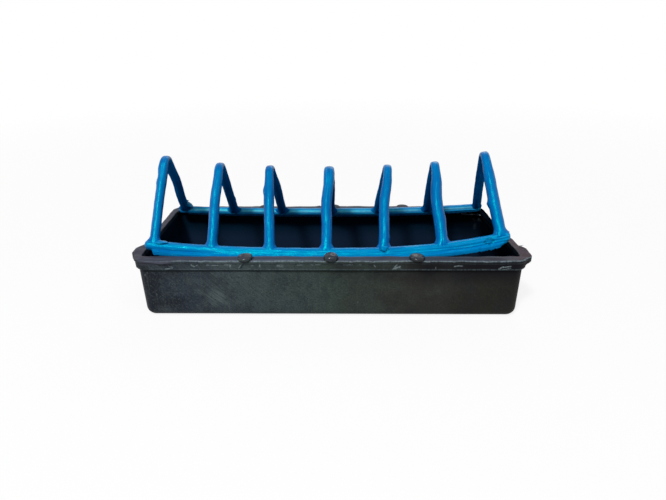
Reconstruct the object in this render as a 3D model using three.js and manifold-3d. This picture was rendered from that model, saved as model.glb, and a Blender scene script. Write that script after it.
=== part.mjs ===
// Trough feeder for chicks: a moulded trough, a blue feeding grid in its mouth, and six studs on the rim.
// Millimetres, +Z up, +X along the trough. The origin is under its middle, on the floor that it stands on.
import * as THREE from 'three';
import { mergeVertices } from 'three/addons/utils/BufferGeometryUtils.js';
import Module from 'manifold-3d';

const wasm = await Module();
wasm.setup();

// Trough: overall sizes, over the rim
const troughLength = 300;
const troughWidth = 124;
const troughHeight = 50.5;

// Trough: walls and floor
const wallThickness = 2.8;
const floorThickness = 2.8;
const wallDraft = 1.1;
const floorEdgeRadius = 6.5;
const floorFilletRadius = 5;
const mouthCornerRadius = 3;

// Trough: the thick rim band and its two corner ears
const bandProud = 2.9;
const bandHeight = 8.5;
const bandDraft = 0.9;
const bandCornerRadius = 11;
const rimEdgeRadius = 1;
const mouthEdgeBreak = 0.5;
const flangeThickness = 2.4;
const flangeRootThickness = 3.6;
const earProud = 3;
const earLength = 12.5;
const earTaper = 1.8;
const earHeight = 6;
const earFootProud = 0.6;
const earSetback = 10.5;
const joinOverlap = 1;

// Studs: domed heads on a short neck, each with a shank in a blind hole of the rim
const studPitch = 64.5;
const studsPerSide = 3;
const studRowShift = 1.4;
const studFromEdge = 3.2;
const headRadius = 5.75;
const headRimThickness = 0.6;
const frontDomeHeight = 2.8;
const rearDomeHeight = 1.4;
const neckRadius = 2.6;
const neckHeight = 0.6;
const shankRadius = 1.6;
const shankLength = 5;
const holeClearance = 0.3;

// Rest pads under the rails, one below each stud
const padDrop = 6.2;
const padWidth = 9;
const padFace = 1.6;
const padReach = 7.8;
const padSlopeHeight = 7.8;

// Rails: a round bar, with a lip that runs along its foot on the outer side and rests on the pads
const railDiameter = 7.6;
const lipProud = 2.3;
const lipDrop = 1.8;
const lipHeight = 4.2;
const lipSetback = 0.8;
const railEdgeBreak = 0.7;
const lipEndSetback = 6;
const lipEndRun = 1.5;
const lipEndProud = 0.3;
const lipEndDrop = 0.2;
const railEndRun = 2.2;
const railEndShare = 0.72;
const leftEndClearance = 2.3;
const rightEndClearance = 7.7;
const liftClearance = 0.3;
const seatGap = 0.3;

// The whole grid lies a little to the left in the mouth
const gridShift = -1.3;

// Rails: how far each end is bowed up, and how the bow grows along the rail
const frontLift = { left: 6, right: 12.7 };
const rearLift = { left: 2.5, right: 4 };
const bowPower = 2.55;

// Hoops: inverted V bars, each leaning a little to the side by a share of its height
const hoopDiameter = 7.6;
const hoopHeight = 51.5;
const endHoopExtra = { left: 5.5, right: 3.8 };
const apexRadius = 9.5;
const endHoopSetback = 10.8;
const footFlareLength = 7;
const footFlareShare = 0.22;
const footStartHeight = 1;
const hoopLeanShares = [0.04, 0.02, -0.057, 0.01, 0.057, -0.07, -0.17];

// Mesh steps
const cornerSteps = 6;
const filletSteps = 4;
const rimEdgeSteps = 2;
const railSteps = 28;
const railRoundSteps = 12;
const hoopSides = 12;
const apexSteps = 8;
const legSteps = 2;
const flareSteps = 3;
const headSides = 24;
const domeSteps = 5;
const holeSides = 16;

const troughMaterial = new THREE.MeshStandardMaterial({ color: 0x34383b, roughness: 0.48, metalness: 0 });
const studMaterial = new THREE.MeshStandardMaterial({ color: 0x41464d, roughness: 0.42, metalness: 0 });
const gridMaterial = new THREE.MeshStandardMaterial({ color: 0x0a7dbd, roughness: 0.36, metalness: 0 });

// Closed skins and joins

// Joins rings of equal point count into one closed surface; the outline triangulates the two end caps.
function skin(rings, outline) {
  const count = outline.length;
  const positions = rings.flat().flatMap((point) => [point.x, point.y, point.z]);
  const indices = [];
  for (let ring = 0; ring + 1 < rings.length; ring += 1) {
    for (let i = 0; i < count; i += 1) {
      const next = (i + 1) % count;
      const low = ring * count;
      const high = low + count;
      indices.push(low + i, low + next, high + next);
      indices.push(low + i, high + next, high + i);
    }
  }
  const last = (rings.length - 1) * count;
  for (const [a, b, c] of THREE.ShapeUtils.triangulateShape(outline, [])) {
    indices.push(c, b, a);
    indices.push(last + a, last + b, last + c);
  }
  const geometry = new THREE.BufferGeometry();
  geometry.setAttribute('position', new THREE.Float32BufferAttribute(positions, 3));
  geometry.setIndex(indices);
  return geometry;
}

function toSolid(geometry) {
  const bare = geometry.clone();
  bare.deleteAttribute('normal');
  bare.deleteAttribute('uv');
  const merged = mergeVertices(bare);
  return new wasm.Manifold(new wasm.Mesh({
    numProp: 3,
    vertProperties: new Float32Array(merged.attributes.position.array),
    triVerts: new Uint32Array(merged.index.array),
  }));
}

function toGeometry(solid) {
  const { vertProperties, triVerts } = solid.getMesh();
  const geometry = new THREE.BufferGeometry();
  geometry.setAttribute('position', new THREE.BufferAttribute(new Float32Array(vertProperties), 3));
  geometry.setIndex(new THREE.BufferAttribute(new Uint32Array(triVerts), 1));
  geometry.computeVertexNormals();
  return geometry;
}

function named(name, geometry, material) {
  geometry.computeVertexNormals();
  const mesh = new THREE.Mesh(geometry, material);
  mesh.name = name;
  return mesh;
}

// Trough shell

const wallInset = (z) => bandProud + wallDraft * (1 - z / troughHeight);
const mouthHalfLength = troughLength / 2 - wallInset(troughHeight) - wallThickness;
const bandBottom = troughHeight - bandHeight;
const wallCornerRadius = bandCornerRadius - bandProud;

// Along its two long sides the rim is a flange that reaches inwards as far as the stud heads do
const flangeInset = studFromEdge + headRadius;
const flangeBottom = troughHeight - flangeThickness;
const flangeRoot = troughHeight - flangeRootThickness;

// A rounded rectangle, inset from the trough's outline over the rim, as a ring of points at one height.
// The long sides can have an inset of their own.
function outlineRing(inset, cornerRadius, z, longSideInset = inset) {
  const halfX = troughLength / 2 - inset;
  const halfY = troughWidth / 2 - longSideInset;
  const radius = Math.max(cornerRadius, mouthEdgeBreak);
  const ring = [];
  for (let corner = 0; corner < 4; corner += 1) {
    const signX = corner === 0 || corner === 3 ? 1 : -1;
    const signY = corner < 2 ? 1 : -1;
    for (let step = 0; step <= cornerSteps; step += 1) {
      const angle = (corner + step / cornerSteps) * (Math.PI / 2);
      const x = signX * (halfX - radius) + radius * Math.cos(angle);
      const y = signY * (halfY - radius) + radius * Math.sin(angle);
      ring.push(new THREE.Vector3(x, y, z));
    }
  }
  return ring;
}

function outerRings() {
  const rings = [];
  for (let step = 0; step <= filletSteps; step += 1) {
    const angle = (step / filletSteps) * (Math.PI / 2);
    const z = floorEdgeRadius * (1 - Math.cos(angle));
    const inward = floorEdgeRadius * (1 - Math.sin(angle));
    rings.push(outlineRing(wallInset(z) + inward, wallCornerRadius - inward, z));
  }
  rings.push(outlineRing(wallInset(bandBottom), wallCornerRadius, bandBottom));
  rings.push(outlineRing(bandDraft, bandCornerRadius - bandDraft, bandBottom));
  for (let step = 0; step <= rimEdgeSteps; step += 1) {
    const angle = (step / rimEdgeSteps) * (Math.PI / 2);
    const inset = rimEdgeRadius * (1 - Math.cos(angle));
    const z = troughHeight - rimEdgeRadius * (1 - Math.sin(angle));
    rings.push(outlineRing(inset, bandCornerRadius - inset, z));
  }
  return rings;
}

function innerRings() {
  const innerInset = (z) => wallInset(z) + wallThickness;
  const belowEdge = troughHeight - mouthEdgeBreak;
  const mouthInset = innerInset(troughHeight) - mouthEdgeBreak;
  const rings = [
    outlineRing(mouthInset, mouthCornerRadius + mouthEdgeBreak, troughHeight, flangeInset - mouthEdgeBreak),
    outlineRing(innerInset(belowEdge), mouthCornerRadius, belowEdge, flangeInset),
    outlineRing(innerInset(flangeBottom), mouthCornerRadius, flangeBottom, flangeInset),
    outlineRing(innerInset(flangeRoot), mouthCornerRadius, flangeRoot),
  ];
  for (let step = 0; step <= filletSteps; step += 1) {
    const angle = (step / filletSteps) * (Math.PI / 2);
    const z = floorThickness + floorFilletRadius * (1 - Math.sin(angle));
    const inward = floorFilletRadius * (1 - Math.cos(angle));
    rings.push(outlineRing(innerInset(z) + inward, mouthCornerRadius - inward, z));
  }
  return rings;
}

// An ear stands out of the end of the rim band next to a front corner, and narrows downwards.
// The side is -1 on the left and 1 on the right.
function ear(side) {
  const foot = troughLength / 2 - joinOverlap;
  const front = earSetback - troughWidth / 2;
  const back = front + earLength;
  const top = troughHeight - rimEdgeRadius;
  const ringAt = (proud, z) => {
    const tip = troughLength / 2 + proud;
    return [
      new THREE.Vector3(foot, front, z),
      new THREE.Vector3(tip - earTaper / 2, front, z),
      new THREE.Vector3(tip, front + earTaper, z),
      new THREE.Vector3(tip, back - earTaper, z),
      new THREE.Vector3(foot, back, z),
    ];
  };
  const upper = ringAt(earProud, top);
  const lower = ringAt(earFootProud, top - earHeight);
  const outline = upper.map((point) => new THREE.Vector2(point.x, point.y));
  const solid = toSolid(skin([lower, upper], outline));
  return side > 0 ? solid : solid.mirror([1, 0, 0]);
}

// Where the studs stand: side is -1 along the front, 1 along the rear
const studY = (side) => side * (troughWidth / 2 - studFromEdge);
const studX = (index) => (index - (studsPerSide - 1) / 2) * studPitch + studRowShift;
const studPlaces = [-1, 1].flatMap((side) =>
  Array.from({ length: studsPerSide }, (unused, index) => ({ side, index, x: studX(index) })));

const padTop = troughHeight - padDrop;

// A rest pad grows out of the inner wall below a stud, flat on top and sloped underneath.
function restPad({ side, x }) {
  const wall = troughWidth / 2 - wallInset(padTop) - wallThickness;
  const root = wall + joinOverlap;
  const tip = wall - padReach;
  const shape = new THREE.Shape([
    new THREE.Vector2(root, padTop),
    new THREE.Vector2(tip, padTop),
    new THREE.Vector2(tip, padTop - padFace),
    new THREE.Vector2(root, padTop - padFace - padSlopeHeight),
  ]);
  const geometry = new THREE.ExtrudeGeometry(shape, { depth: padWidth, bevelEnabled: false });
  geometry.translate(0, 0, -padWidth / 2);
  geometry.rotateX(Math.PI / 2);
  geometry.rotateZ(side * (Math.PI / 2));
  geometry.translate(x, 0, 0);
  return toSolid(geometry);
}

function studHole({ side, x }) {
  const depth = shankLength + holeClearance;
  const geometry = new THREE.CylinderGeometry(shankRadius + holeClearance, shankRadius + holeClearance,
    depth + joinOverlap, holeSides);
  geometry.rotateX(Math.PI / 2);
  geometry.translate(x, studY(side), troughHeight + joinOverlap / 2 - depth / 2);
  return toSolid(geometry);
}

function trough() {
  const rings = [...outerRings(), ...innerRings()];
  const outline = rings[0].map((point) => new THREE.Vector2(point.x, point.y));
  let solid = toSolid(skin(rings, outline));
  for (const side of [-1, 1]) {
    solid = solid.add(ear(side));
  }
  for (const place of studPlaces) {
    solid = solid.add(restPad(place)).subtract(studHole(place));
  }
  return named('trough', toGeometry(solid), troughMaterial);
}

// Studs

function stud({ side, index, x }) {
  const underside = neckHeight;
  const domeBase = underside + headRimThickness;
  const domeHeight = side < 0 ? frontDomeHeight : rearDomeHeight;
  const profile = [
    new THREE.Vector2(0, -shankLength),
    new THREE.Vector2(shankRadius, -shankLength),
    new THREE.Vector2(shankRadius, 0),
    new THREE.Vector2(neckRadius, 0),
    new THREE.Vector2(neckRadius, underside),
    new THREE.Vector2(headRadius - headRimThickness / 2, underside),
  ];
  for (let step = 0; step < domeSteps; step += 1) {
    const angle = (step / domeSteps) * (Math.PI / 2);
    profile.push(new THREE.Vector2(headRadius * Math.cos(angle), domeBase + domeHeight * Math.sin(angle)));
  }
  profile.push(new THREE.Vector2(0, domeBase + domeHeight));
  const geometry = new THREE.LatheGeometry(profile, headSides);
  geometry.rotateX(Math.PI / 2);
  const row = side < 0 ? 'front' : 'rear';
  const place = ['left', 'middle', 'right'][index];
  const mesh = named(`${row}_stud_${place}`, geometry, studMaterial);
  mesh.position.set(x, studY(side), troughHeight);
  return mesh;
}

// Grid rails

const railY = troughWidth / 2 - studFromEdge - headRadius - liftClearance - lipProud - railDiameter / 2;
const railBottom = padTop + seatGap;
const railCentreZ = railBottom + lipDrop + railDiameter / 2;
const railLeft = leftEndClearance - mouthHalfLength;
const railRight = mouthHalfLength - rightEndClearance;

// How far the rail is bowed up at x: nothing in the middle, the full lift at the end hoops.
const endHoopX = mouthHalfLength - endHoopSetback;
function bow(lift, x) {
  const fromMiddle = x - gridShift;
  const share = Math.abs(fromMiddle) / endHoopX;
  return (fromMiddle < 0 ? lift.left : lift.right) * share ** bowPower;
}

// The rail's section: u runs outwards from the bar's centre line, v up. The margin grows it all round.
function railSection({ proud, drop }, margin) {
  const half = railDiameter / 2 + margin;
  const bottom = -half - drop;
  const lipIn = lipSetback - margin;
  const lipOut = half + proud;
  const lipTop = lipHeight - lipDrop - railDiameter / 2 + margin;
  const points = [
    new THREE.Vector2(lipIn, bottom),
    new THREE.Vector2(lipOut - railEdgeBreak, bottom),
    new THREE.Vector2(lipOut, bottom + railEdgeBreak),
    new THREE.Vector2(lipOut, lipTop - railEdgeBreak),
    new THREE.Vector2(lipOut - Math.min(railEdgeBreak, proud / 2), lipTop),
    new THREE.Vector2(half, lipTop),
  ];
  for (let step = 0; step <= railRoundSteps; step += 1) {
    const angle = (step / railRoundSteps) * (Math.PI * 3 / 2);
    points.push(new THREE.Vector2(half * Math.cos(angle), half * Math.sin(angle)));
  }
  return points;
}

// The lip stops short of both ends of the bar.
function lipAt(x) {
  const fromEnd = Math.min(x - railLeft, railRight - x) - lipEndSetback;
  const share = THREE.MathUtils.clamp(fromEnd / lipEndRun, 0, 1);
  return {
    proud: THREE.MathUtils.lerp(lipEndProud, lipProud, share),
    drop: THREE.MathUtils.lerp(lipEndDrop, lipDrop, share),
  };
}

function railStations(margin) {
  const marks = [0, railEndRun, lipEndSetback, lipEndSetback + lipEndRun];
  const firstBow = railLeft + lipEndSetback + lipEndRun;
  const lastBow = railRight - lipEndSetback - lipEndRun;
  const xs = marks.map((mark) => railLeft + mark);
  for (let step = 1; step < railSteps; step += 1) {
    xs.push(THREE.MathUtils.lerp(firstBow, lastBow, step / railSteps));
  }
  xs.push(...marks.reverse().map((mark) => railRight - mark));
  xs[0] -= margin;
  xs[xs.length - 1] += margin;
  return xs;
}

function railGeometry(side, margin) {
  const lift = side < 0 ? frontLift : rearLift;
  const xs = railStations(margin);
  const rings = xs.map((x, station) => {
    const atEnd = station === 0 || station === xs.length - 1;
    const share = atEnd && margin === 0 ? railEndShare : 1;
    return railSection(lipAt(x), margin).map(({ x: u, y: v }) =>
      new THREE.Vector3(x, side * (railY + u * share), railCentreZ + v * share + bow(lift, x)));
  });
  const outline = railSection({ proud: lipProud, drop: lipDrop }, margin);
  return skin(side < 0 ? rings.reverse() : rings, outline);
}

function rail(side) {
  return named(side < 0 ? 'front_rail' : 'rear_rail', railGeometry(side, 0), gridMaterial);
}

// Grid hoops

// The centre line of one hoop, flat: s runs from the front rail to the rear rail, h up from the rails.
function archLine(halfSpan, height) {
  const centre = height - apexRadius;
  const legAngle = Math.atan2(centre, halfSpan) + Math.asin(apexRadius / Math.hypot(centre, halfSpan));
  const startS = halfSpan - footStartHeight / Math.tan(legAngle);
  const tangentS = apexRadius * Math.sin(legAngle);
  const tangentH = centre + apexRadius * Math.cos(legAngle);
  const legLength = Math.hypot(tangentS - startS, tangentH - footStartHeight);
  const shares = [];
  for (let step = 0; step < flareSteps; step += 1) {
    shares.push(((step / flareSteps) * footFlareLength) / legLength);
  }
  for (let step = 0; step < legSteps; step += 1) {
    shares.push(THREE.MathUtils.lerp(footFlareLength / legLength, 1, step / legSteps));
  }
  const leg = shares.map((share) => ({
    s: THREE.MathUtils.lerp(startS, tangentS, share),
    h: THREE.MathUtils.lerp(footStartHeight, tangentH, share),
    fromFoot: share * legLength,
  }));
  const arc = Array.from({ length: apexSteps + 1 }, (unused, step) => {
    const angle = Math.PI / 2 - legAngle + (step / apexSteps) * 2 * legAngle;
    const s = apexRadius * Math.cos(angle);
    const h = centre + apexRadius * Math.sin(angle);
    return { s, h, fromFoot: legLength };
  });
  const otherLeg = leg.map(({ s, h, fromFoot }) => ({ s: -s, h, fromFoot })).reverse();
  return [...leg, ...arc, ...otherLeg];
}

function hoop(index) {
  const count = hoopLeanShares.length;
  const share = index / (count - 1) * 2 - 1;
  const x = gridShift + endHoopX * share;
  const height = hoopHeight + bow(endHoopExtra, x);
  const lean = hoopLeanShares[index] * height;
  const frontZ = railCentreZ + bow(frontLift, x);
  const rearZ = railCentreZ + bow(rearLift, x);
  const line = archLine(railY, height).map(({ s, h, fromFoot }) => {
    const base = THREE.MathUtils.lerp(frontZ, rearZ, (s + railY) / (2 * railY));
    return { point: new THREE.Vector3(x + lean * (h / height), s, base + h), fromFoot };
  });
  const across = new THREE.Vector3(0, 2 * railY, rearZ - frontZ);
  const normal = across.cross(new THREE.Vector3(lean, 0, height)).normalize();
  const rings = line.map(({ point, fromFoot }, station) => {
    const before = line[Math.max(station - 1, 0)].point;
    const after = line[Math.min(station + 1, line.length - 1)].point;
    const outward = after.clone().sub(before).normalize().cross(normal);
    const flare = footFlareShare * Math.max(1 - fromFoot / footFlareLength, 0) ** 2;
    const radius = (hoopDiameter / 2) * (1 + flare);
    return Array.from({ length: hoopSides }, (unused, side) => {
      const angle = (side / hoopSides) * 2 * Math.PI;
      return point.clone()
        .addScaledVector(normal, radius * Math.cos(angle))
        .addScaledVector(outward, radius * Math.sin(angle));
    });
  });
  const outline = Array.from({ length: hoopSides }, (unused, side) => {
    const angle = (side / hoopSides) * 2 * Math.PI;
    return new THREE.Vector2(Math.cos(angle), Math.sin(angle));
  });
  const bar = toSolid(skin(rings, outline));
  const seated = bar.subtract(railRoom[0]).subtract(railRoom[1]);
  return named(`hoop_${index + 1}`, toGeometry(seated), gridMaterial);
}

const railRoom = [-1, 1].map((side) => toSolid(railGeometry(side, seatGap)));

// The feeder

const feeder = new THREE.Group();
feeder.add(trough());
for (const place of studPlaces) {
  feeder.add(stud(place));
}

const grid = new THREE.Group();
grid.add(rail(-1), rail(1));
for (let index = 0; index < hoopLeanShares.length; index += 1) {
  grid.add(hoop(index));
}
feeder.add(grid);

export default feeder;
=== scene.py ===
# %% [markdown]
# # A trough feeder for chicks
# The feeder is a long dark trough that holds the feed, a blue grid that lies in its mouth, and six studs on
# the rim that keep the grid down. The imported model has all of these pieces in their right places, but with
# few faces and one flat colour each. Here every moulding is made again as a fine surface that is worked out
# with numpy, and gets the plastic, the scuffs and the small faults of a feeder that has been used. The
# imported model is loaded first, because its frame and its box are what every piece has to fit.

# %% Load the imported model
import math

import bpy
import numpy as np
from mathutils import Matrix, Vector


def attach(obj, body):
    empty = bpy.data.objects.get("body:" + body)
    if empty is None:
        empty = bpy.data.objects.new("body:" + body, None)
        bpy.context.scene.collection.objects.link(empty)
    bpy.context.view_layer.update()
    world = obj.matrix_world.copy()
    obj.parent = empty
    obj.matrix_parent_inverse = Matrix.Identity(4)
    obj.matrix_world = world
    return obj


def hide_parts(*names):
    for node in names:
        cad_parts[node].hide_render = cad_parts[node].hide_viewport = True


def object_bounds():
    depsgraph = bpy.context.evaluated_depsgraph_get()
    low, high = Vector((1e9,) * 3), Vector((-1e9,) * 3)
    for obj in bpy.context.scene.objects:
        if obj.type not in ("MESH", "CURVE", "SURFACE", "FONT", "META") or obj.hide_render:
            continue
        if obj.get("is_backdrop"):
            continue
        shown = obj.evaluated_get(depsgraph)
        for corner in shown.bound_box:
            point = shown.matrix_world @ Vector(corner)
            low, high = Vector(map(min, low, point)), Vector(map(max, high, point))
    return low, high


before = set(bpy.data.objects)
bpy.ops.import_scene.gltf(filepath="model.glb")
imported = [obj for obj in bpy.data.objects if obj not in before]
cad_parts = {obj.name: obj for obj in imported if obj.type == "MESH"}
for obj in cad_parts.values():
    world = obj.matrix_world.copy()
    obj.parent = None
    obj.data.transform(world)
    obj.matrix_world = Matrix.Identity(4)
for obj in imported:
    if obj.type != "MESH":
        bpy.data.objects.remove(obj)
cad_low, cad_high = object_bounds()
print("CAD box in metres:", [round(v, 4) for v in (*cad_low, *cad_high)])

# %% [markdown]
# The picture was taken from close by, a little above the rim and almost square to the long front side.
# Close range makes the front look much larger than the rear, so the distance matters as much as the angle.
# All sizes in this file are in millimetres, and one factor turns them into Blender's metres at the last
# moment.

# %% The camera
MM = 0.001
IMAGE_WIDTH_PX = 666
FOCAL_LENGTH_PX = 550
SENSOR_WIDTH = 36
CAMERA_PLACE = (12.8, -432.5, 223.4)
CAMERA_PITCH, CAMERA_YAW, CAMERA_ROLL = (math.radians(angle) for angle in (23.88, -1.47, -0.58))

forward = Vector((math.sin(CAMERA_YAW) * math.cos(CAMERA_PITCH),
                  math.cos(CAMERA_YAW) * math.cos(CAMERA_PITCH),
                  -math.sin(CAMERA_PITCH)))
level_right = Vector((math.cos(CAMERA_YAW), -math.sin(CAMERA_YAW), 0))
level_up = level_right.cross(forward)
right = level_right * math.cos(CAMERA_ROLL) + level_up * math.sin(CAMERA_ROLL)
up = level_up * math.cos(CAMERA_ROLL) - level_right * math.sin(CAMERA_ROLL)


def new_object(name, data):
    """An object with this data, in the scene."""
    made = bpy.data.objects.new(name, data)
    bpy.context.scene.collection.objects.link(made)
    return made


camera_data = bpy.data.cameras.new("photo_camera")
camera_data.sensor_width = SENSOR_WIDTH
camera_data.lens = FOCAL_LENGTH_PX / IMAGE_WIDTH_PX * SENSOR_WIDTH
camera_data.clip_start = 0.01
camera = new_object("photo_camera", camera_data)
axes_of_view = Matrix((right, up, -forward)).transposed().to_4x4()
camera.matrix_world = Matrix.Translation(Vector(CAMERA_PLACE) * MM) @ axes_of_view
bpy.context.scene.camera = camera
print("lens in mm:", round(camera_data.lens, 2))

# %% [markdown]
# Every piece is a grid of points: rows go along it and columns go round it. A helper turns such a grid into
# a closed mesh. It joins the last column to the first, closes each end with a fan around one pole point,
# and turns the faces outwards by the sign of the volume that they enclose. Each point can also carry its
# place on the piece as if the piece were pulled straight, so that streaks in a material can follow a bent
# bar, and marks from 0 to 1 that a material can read.

# %% From a grid of points to a closed mesh
def ring_quads(rows, columns):
    """Faces between each row and the next, where the last column meets the first again."""
    row, column = np.meshgrid(np.arange(rows - 1), np.arange(columns), indexing="ij")
    after = (column + 1) % columns
    quads = np.stack([row * columns + column, row * columns + after,
                      (row + 1) * columns + after, (row + 1) * columns + column], axis=-1)
    return quads.reshape(-1, 4)


def enclosed_volume(points, triangles):
    """A sixth of the sum of p0 . (p1 x p2) over all triangles: positive when they face outwards."""
    p0, p1, p2 = (points[triangles[:, corner]] for corner in range(3))
    return float(np.einsum("ij,ij->i", p0, np.cross(p1, p2)).sum() / 6)


def grid_of(x, y, z):
    """A grid of points. Each of x, y and z may be a number, a row, a column or a whole grid."""
    return np.stack(np.broadcast_arrays(x, y, z), axis=-1)


def with_poles(grid):
    """The grid's points in one list, and after them the mean of its first and of its last row."""
    poles = [grid[0].mean(axis=0), grid[-1].mean(axis=0)]
    return np.concatenate([grid.reshape(-1, grid.shape[-1]), poles])


def closed_piece(name, grid, straight=None, marks=None):
    """A mesh object from grid[row, column] in mm. Its poles lie at the means of the first and last row."""
    rows, columns = grid.shape[:2]
    points = with_poles(grid)
    quads = ring_quads(rows, columns)
    ring = np.arange(columns)
    after = (ring + 1) % columns
    last = (rows - 1) * columns
    first_fan = np.stack([after, ring, np.full(columns, rows * columns)], axis=-1)
    last_fan = np.stack([last + ring, last + after, np.full(columns, rows * columns + 1)], axis=-1)
    fans = np.concatenate([first_fan, last_fan])
    triangles = np.concatenate([quads[:, [0, 1, 2]], quads[:, [0, 2, 3]], fans])
    if enclosed_volume(points, triangles) < 0:
        quads, fans = quads[:, ::-1], fans[:, ::-1]
    mesh = bpy.data.meshes.new(name)
    mesh.from_pydata((points * MM).tolist(), [], quads.tolist() + fans.tolist())
    mesh.polygons.foreach_set("use_smooth", np.ones(len(mesh.polygons), dtype=bool))
    if straight is not None:
        places = (with_poles(straight) * MM).astype(np.float32)
        layer = mesh.attributes.new("straightened", "FLOAT_VECTOR", "POINT")
        layer.data.foreach_set("vector", places.ravel())
    for mark, values in (marks or {}).items():
        values = with_poles(np.broadcast_to(values, (rows, columns))[..., None]).astype(np.float32)
        layer = mesh.attributes.new(mark, "FLOAT", "POINT")
        layer.data.foreach_set("value", values.ravel())
    mesh.update()
    print(f"{name}: {len(points)} points, {round(abs(enclosed_volume(points, triangles)) / 1000, 2)} cm3")
    return new_object(name, mesh)


# %% [markdown]
# ## The trough
# The real trough is one thin-walled moulding: a flat floor, walls that lean out a little so that it leaves
# its mould, and a thick band round the rim. It could be a box with a shell modifier, but the rim, the wall
# and the floor all have their own thickness and rounding. So its section is drawn once, as a list of steps
# from under the floor, up the outside, over the rim and down to the floor inside, and is carried round the
# rounded outline. Along the two long sides the rim reaches further inwards, as a flange that carries the
# studs, so each row also has its own inset there.

# %% Sizes of the trough
TROUGH_LENGTH, TROUGH_WIDTH, TROUGH_HEIGHT = 300, 124, 50.5
WALL_THICKNESS, FLOOR_THICKNESS, WALL_DRAFT = 2.8, 2.8, 1.1
FLOOR_EDGE_RADIUS, FLOOR_FILLET_RADIUS, FLOOR_CORNER_RADIUS, MOUTH_CORNER_RADIUS = 6.5, 5, 0.4, 3
BAND_PROUD, BAND_HEIGHT, BAND_DRAFT, BAND_CORNER_RADIUS = 2.9, 8.5, 0.9, 11
RIM_EDGE_RADIUS, MOUTH_EDGE_RADIUS = 1.1, 0.6
FLANGE_INSET, FLANGE_THICKNESS, FLANGE_ROOT_THICKNESS = 8.95, 2.4, 3.6
EAR_PROUD, EAR_FOOT = 2.9, 43.3
LEFT_EAR_FROM_TO, RIGHT_EAR_FROM_TO = (-51.5, -29.5), (-56.5, -29)

band_bottom = TROUGH_HEIGHT - BAND_HEIGHT
wall_corner_radius = BAND_CORNER_RADIUS - BAND_PROUD
mouth_half_width = TROUGH_WIDTH / 2 - BAND_PROUD - WALL_THICKNESS


def wall_inset(z):
    """How far the outside of the wall stands in from the outline at height z. The draft shrinks upwards."""
    return BAND_PROUD + WALL_DRAFT * (1 - z / TROUGH_HEIGHT)


def arc(start, end, steps):
    """Angles from start to end in degrees, both ends included, in radians."""
    return np.radians(np.linspace(start, end, steps))


def on_circle(turn):
    """(cos t, sin t) for each angle."""
    return np.stack([np.cos(turn), np.sin(turn)], axis=-1)


def quarter(radius, steps):
    """A quarter circle as two distances: radius (1 - cos t) and radius (1 - sin t)."""
    return radius * (1 - on_circle(arc(0, 90, steps)).T)


def between(first, second, share):
    """first + (second - first) * share."""
    return first + (second - first) * share


def table(*rows):
    """Rows under one another. A single number is repeated to the length of the others."""
    return np.stack(np.broadcast_arrays(*rows))


# %% The trough's section, as inset, corner radius, height and inset of the long sides
bottom_z, bottom_in = quarter(FLOOR_EDGE_RADIUS, 9)
under_floor = (wall_inset(bottom_z) + bottom_in, wall_corner_radius - bottom_in, bottom_z)

wall_z = np.linspace(FLOOR_EDGE_RADIUS, band_bottom - 0.6, 16)[1:]
outer_wall = (wall_inset(wall_z), wall_corner_radius, wall_z)

step_z = TROUGH_HEIGHT - 2.9
skirt_corners = np.array([
    (BAND_PROUD + 0.2, band_bottom - 0.2), (BAND_PROUD - 0.5, band_bottom), (1.9, band_bottom),
    (1.25, band_bottom + 0.1), (0.95, band_bottom + 0.5), (BAND_DRAFT, band_bottom + 1.2),
    (0.68, step_z), (0.2, step_z + 0.5), (0.05, step_z + 0.9), (0, TROUGH_HEIGHT - RIM_EDGE_RADIUS - 0.2)])
skirt_face = np.linspace(skirt_corners[5], skirt_corners[6], 10)[1:-1]
skirt_in, skirt_z = np.concatenate([skirt_corners[:6], skirt_face, skirt_corners[6:]]).T
skirt = (skirt_in, BAND_CORNER_RADIUS - skirt_in, skirt_z)

rim_in, rim_drop = quarter(RIM_EDGE_RADIUS, 6)
rim_edge = (rim_in, BAND_CORNER_RADIUS - rim_in, TROUGH_HEIGHT - rim_drop)

mouth_in = wall_inset(TROUGH_HEIGHT) + WALL_THICKNESS
top_start = (RIM_EDGE_RADIUS, BAND_CORNER_RADIUS - RIM_EDGE_RADIUS, TROUGH_HEIGHT, RIM_EDGE_RADIUS)
top_end = (mouth_in - MOUTH_EDGE_RADIUS, MOUTH_CORNER_RADIUS + 0.5, TROUGH_HEIGHT,
           FLANGE_INSET - MOUTH_EDGE_RADIUS)
rim_top = np.linspace(top_start, top_end, 9)[1:].T

edge_drop, edge_out = quarter(MOUTH_EDGE_RADIUS, 5)[:, 1:]
mouth_edge = (mouth_in - edge_out, MOUTH_CORNER_RADIUS + edge_out, TROUGH_HEIGHT - edge_drop,
              FLANGE_INSET - edge_out)

flange_bottom, flange_root = TROUGH_HEIGHT - FLANGE_THICKNESS, TROUGH_HEIGHT - FLANGE_ROOT_THICKNESS
flange_z = np.array([TROUGH_HEIGHT - 1.3, flange_bottom + 0.4, flange_bottom + 0.12, flange_bottom - 0.02,
                     flange_bottom - 0.3, flange_bottom - 0.6, flange_root, flange_root - 0.8])
behind_flange = wall_inset(flange_z) + WALL_THICKNESS
reach_share = np.array([1, 1, 0.96, 0.86, 0.6, 0.3, 0.06, 0])
flange = (behind_flange, MOUTH_CORNER_RADIUS, flange_z, between(behind_flange, FLANGE_INSET, reach_share))

inner_z = np.linspace(flange_root - 3, FLOOR_THICKNESS + FLOOR_FILLET_RADIUS, 16)
inner_wall = (wall_inset(inner_z) + WALL_THICKNESS, MOUTH_CORNER_RADIUS, inner_z)

fillet_in, fillet_up = quarter(FLOOR_FILLET_RADIUS, 7)[:, 1:]
fillet_z = FLOOR_THICKNESS + fillet_up
floor_fillet = (wall_inset(fillet_z) + WALL_THICKNESS + fillet_in,
                np.maximum(MOUTH_CORNER_RADIUS - fillet_in, FLOOR_CORNER_RADIUS), fillet_z)

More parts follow.
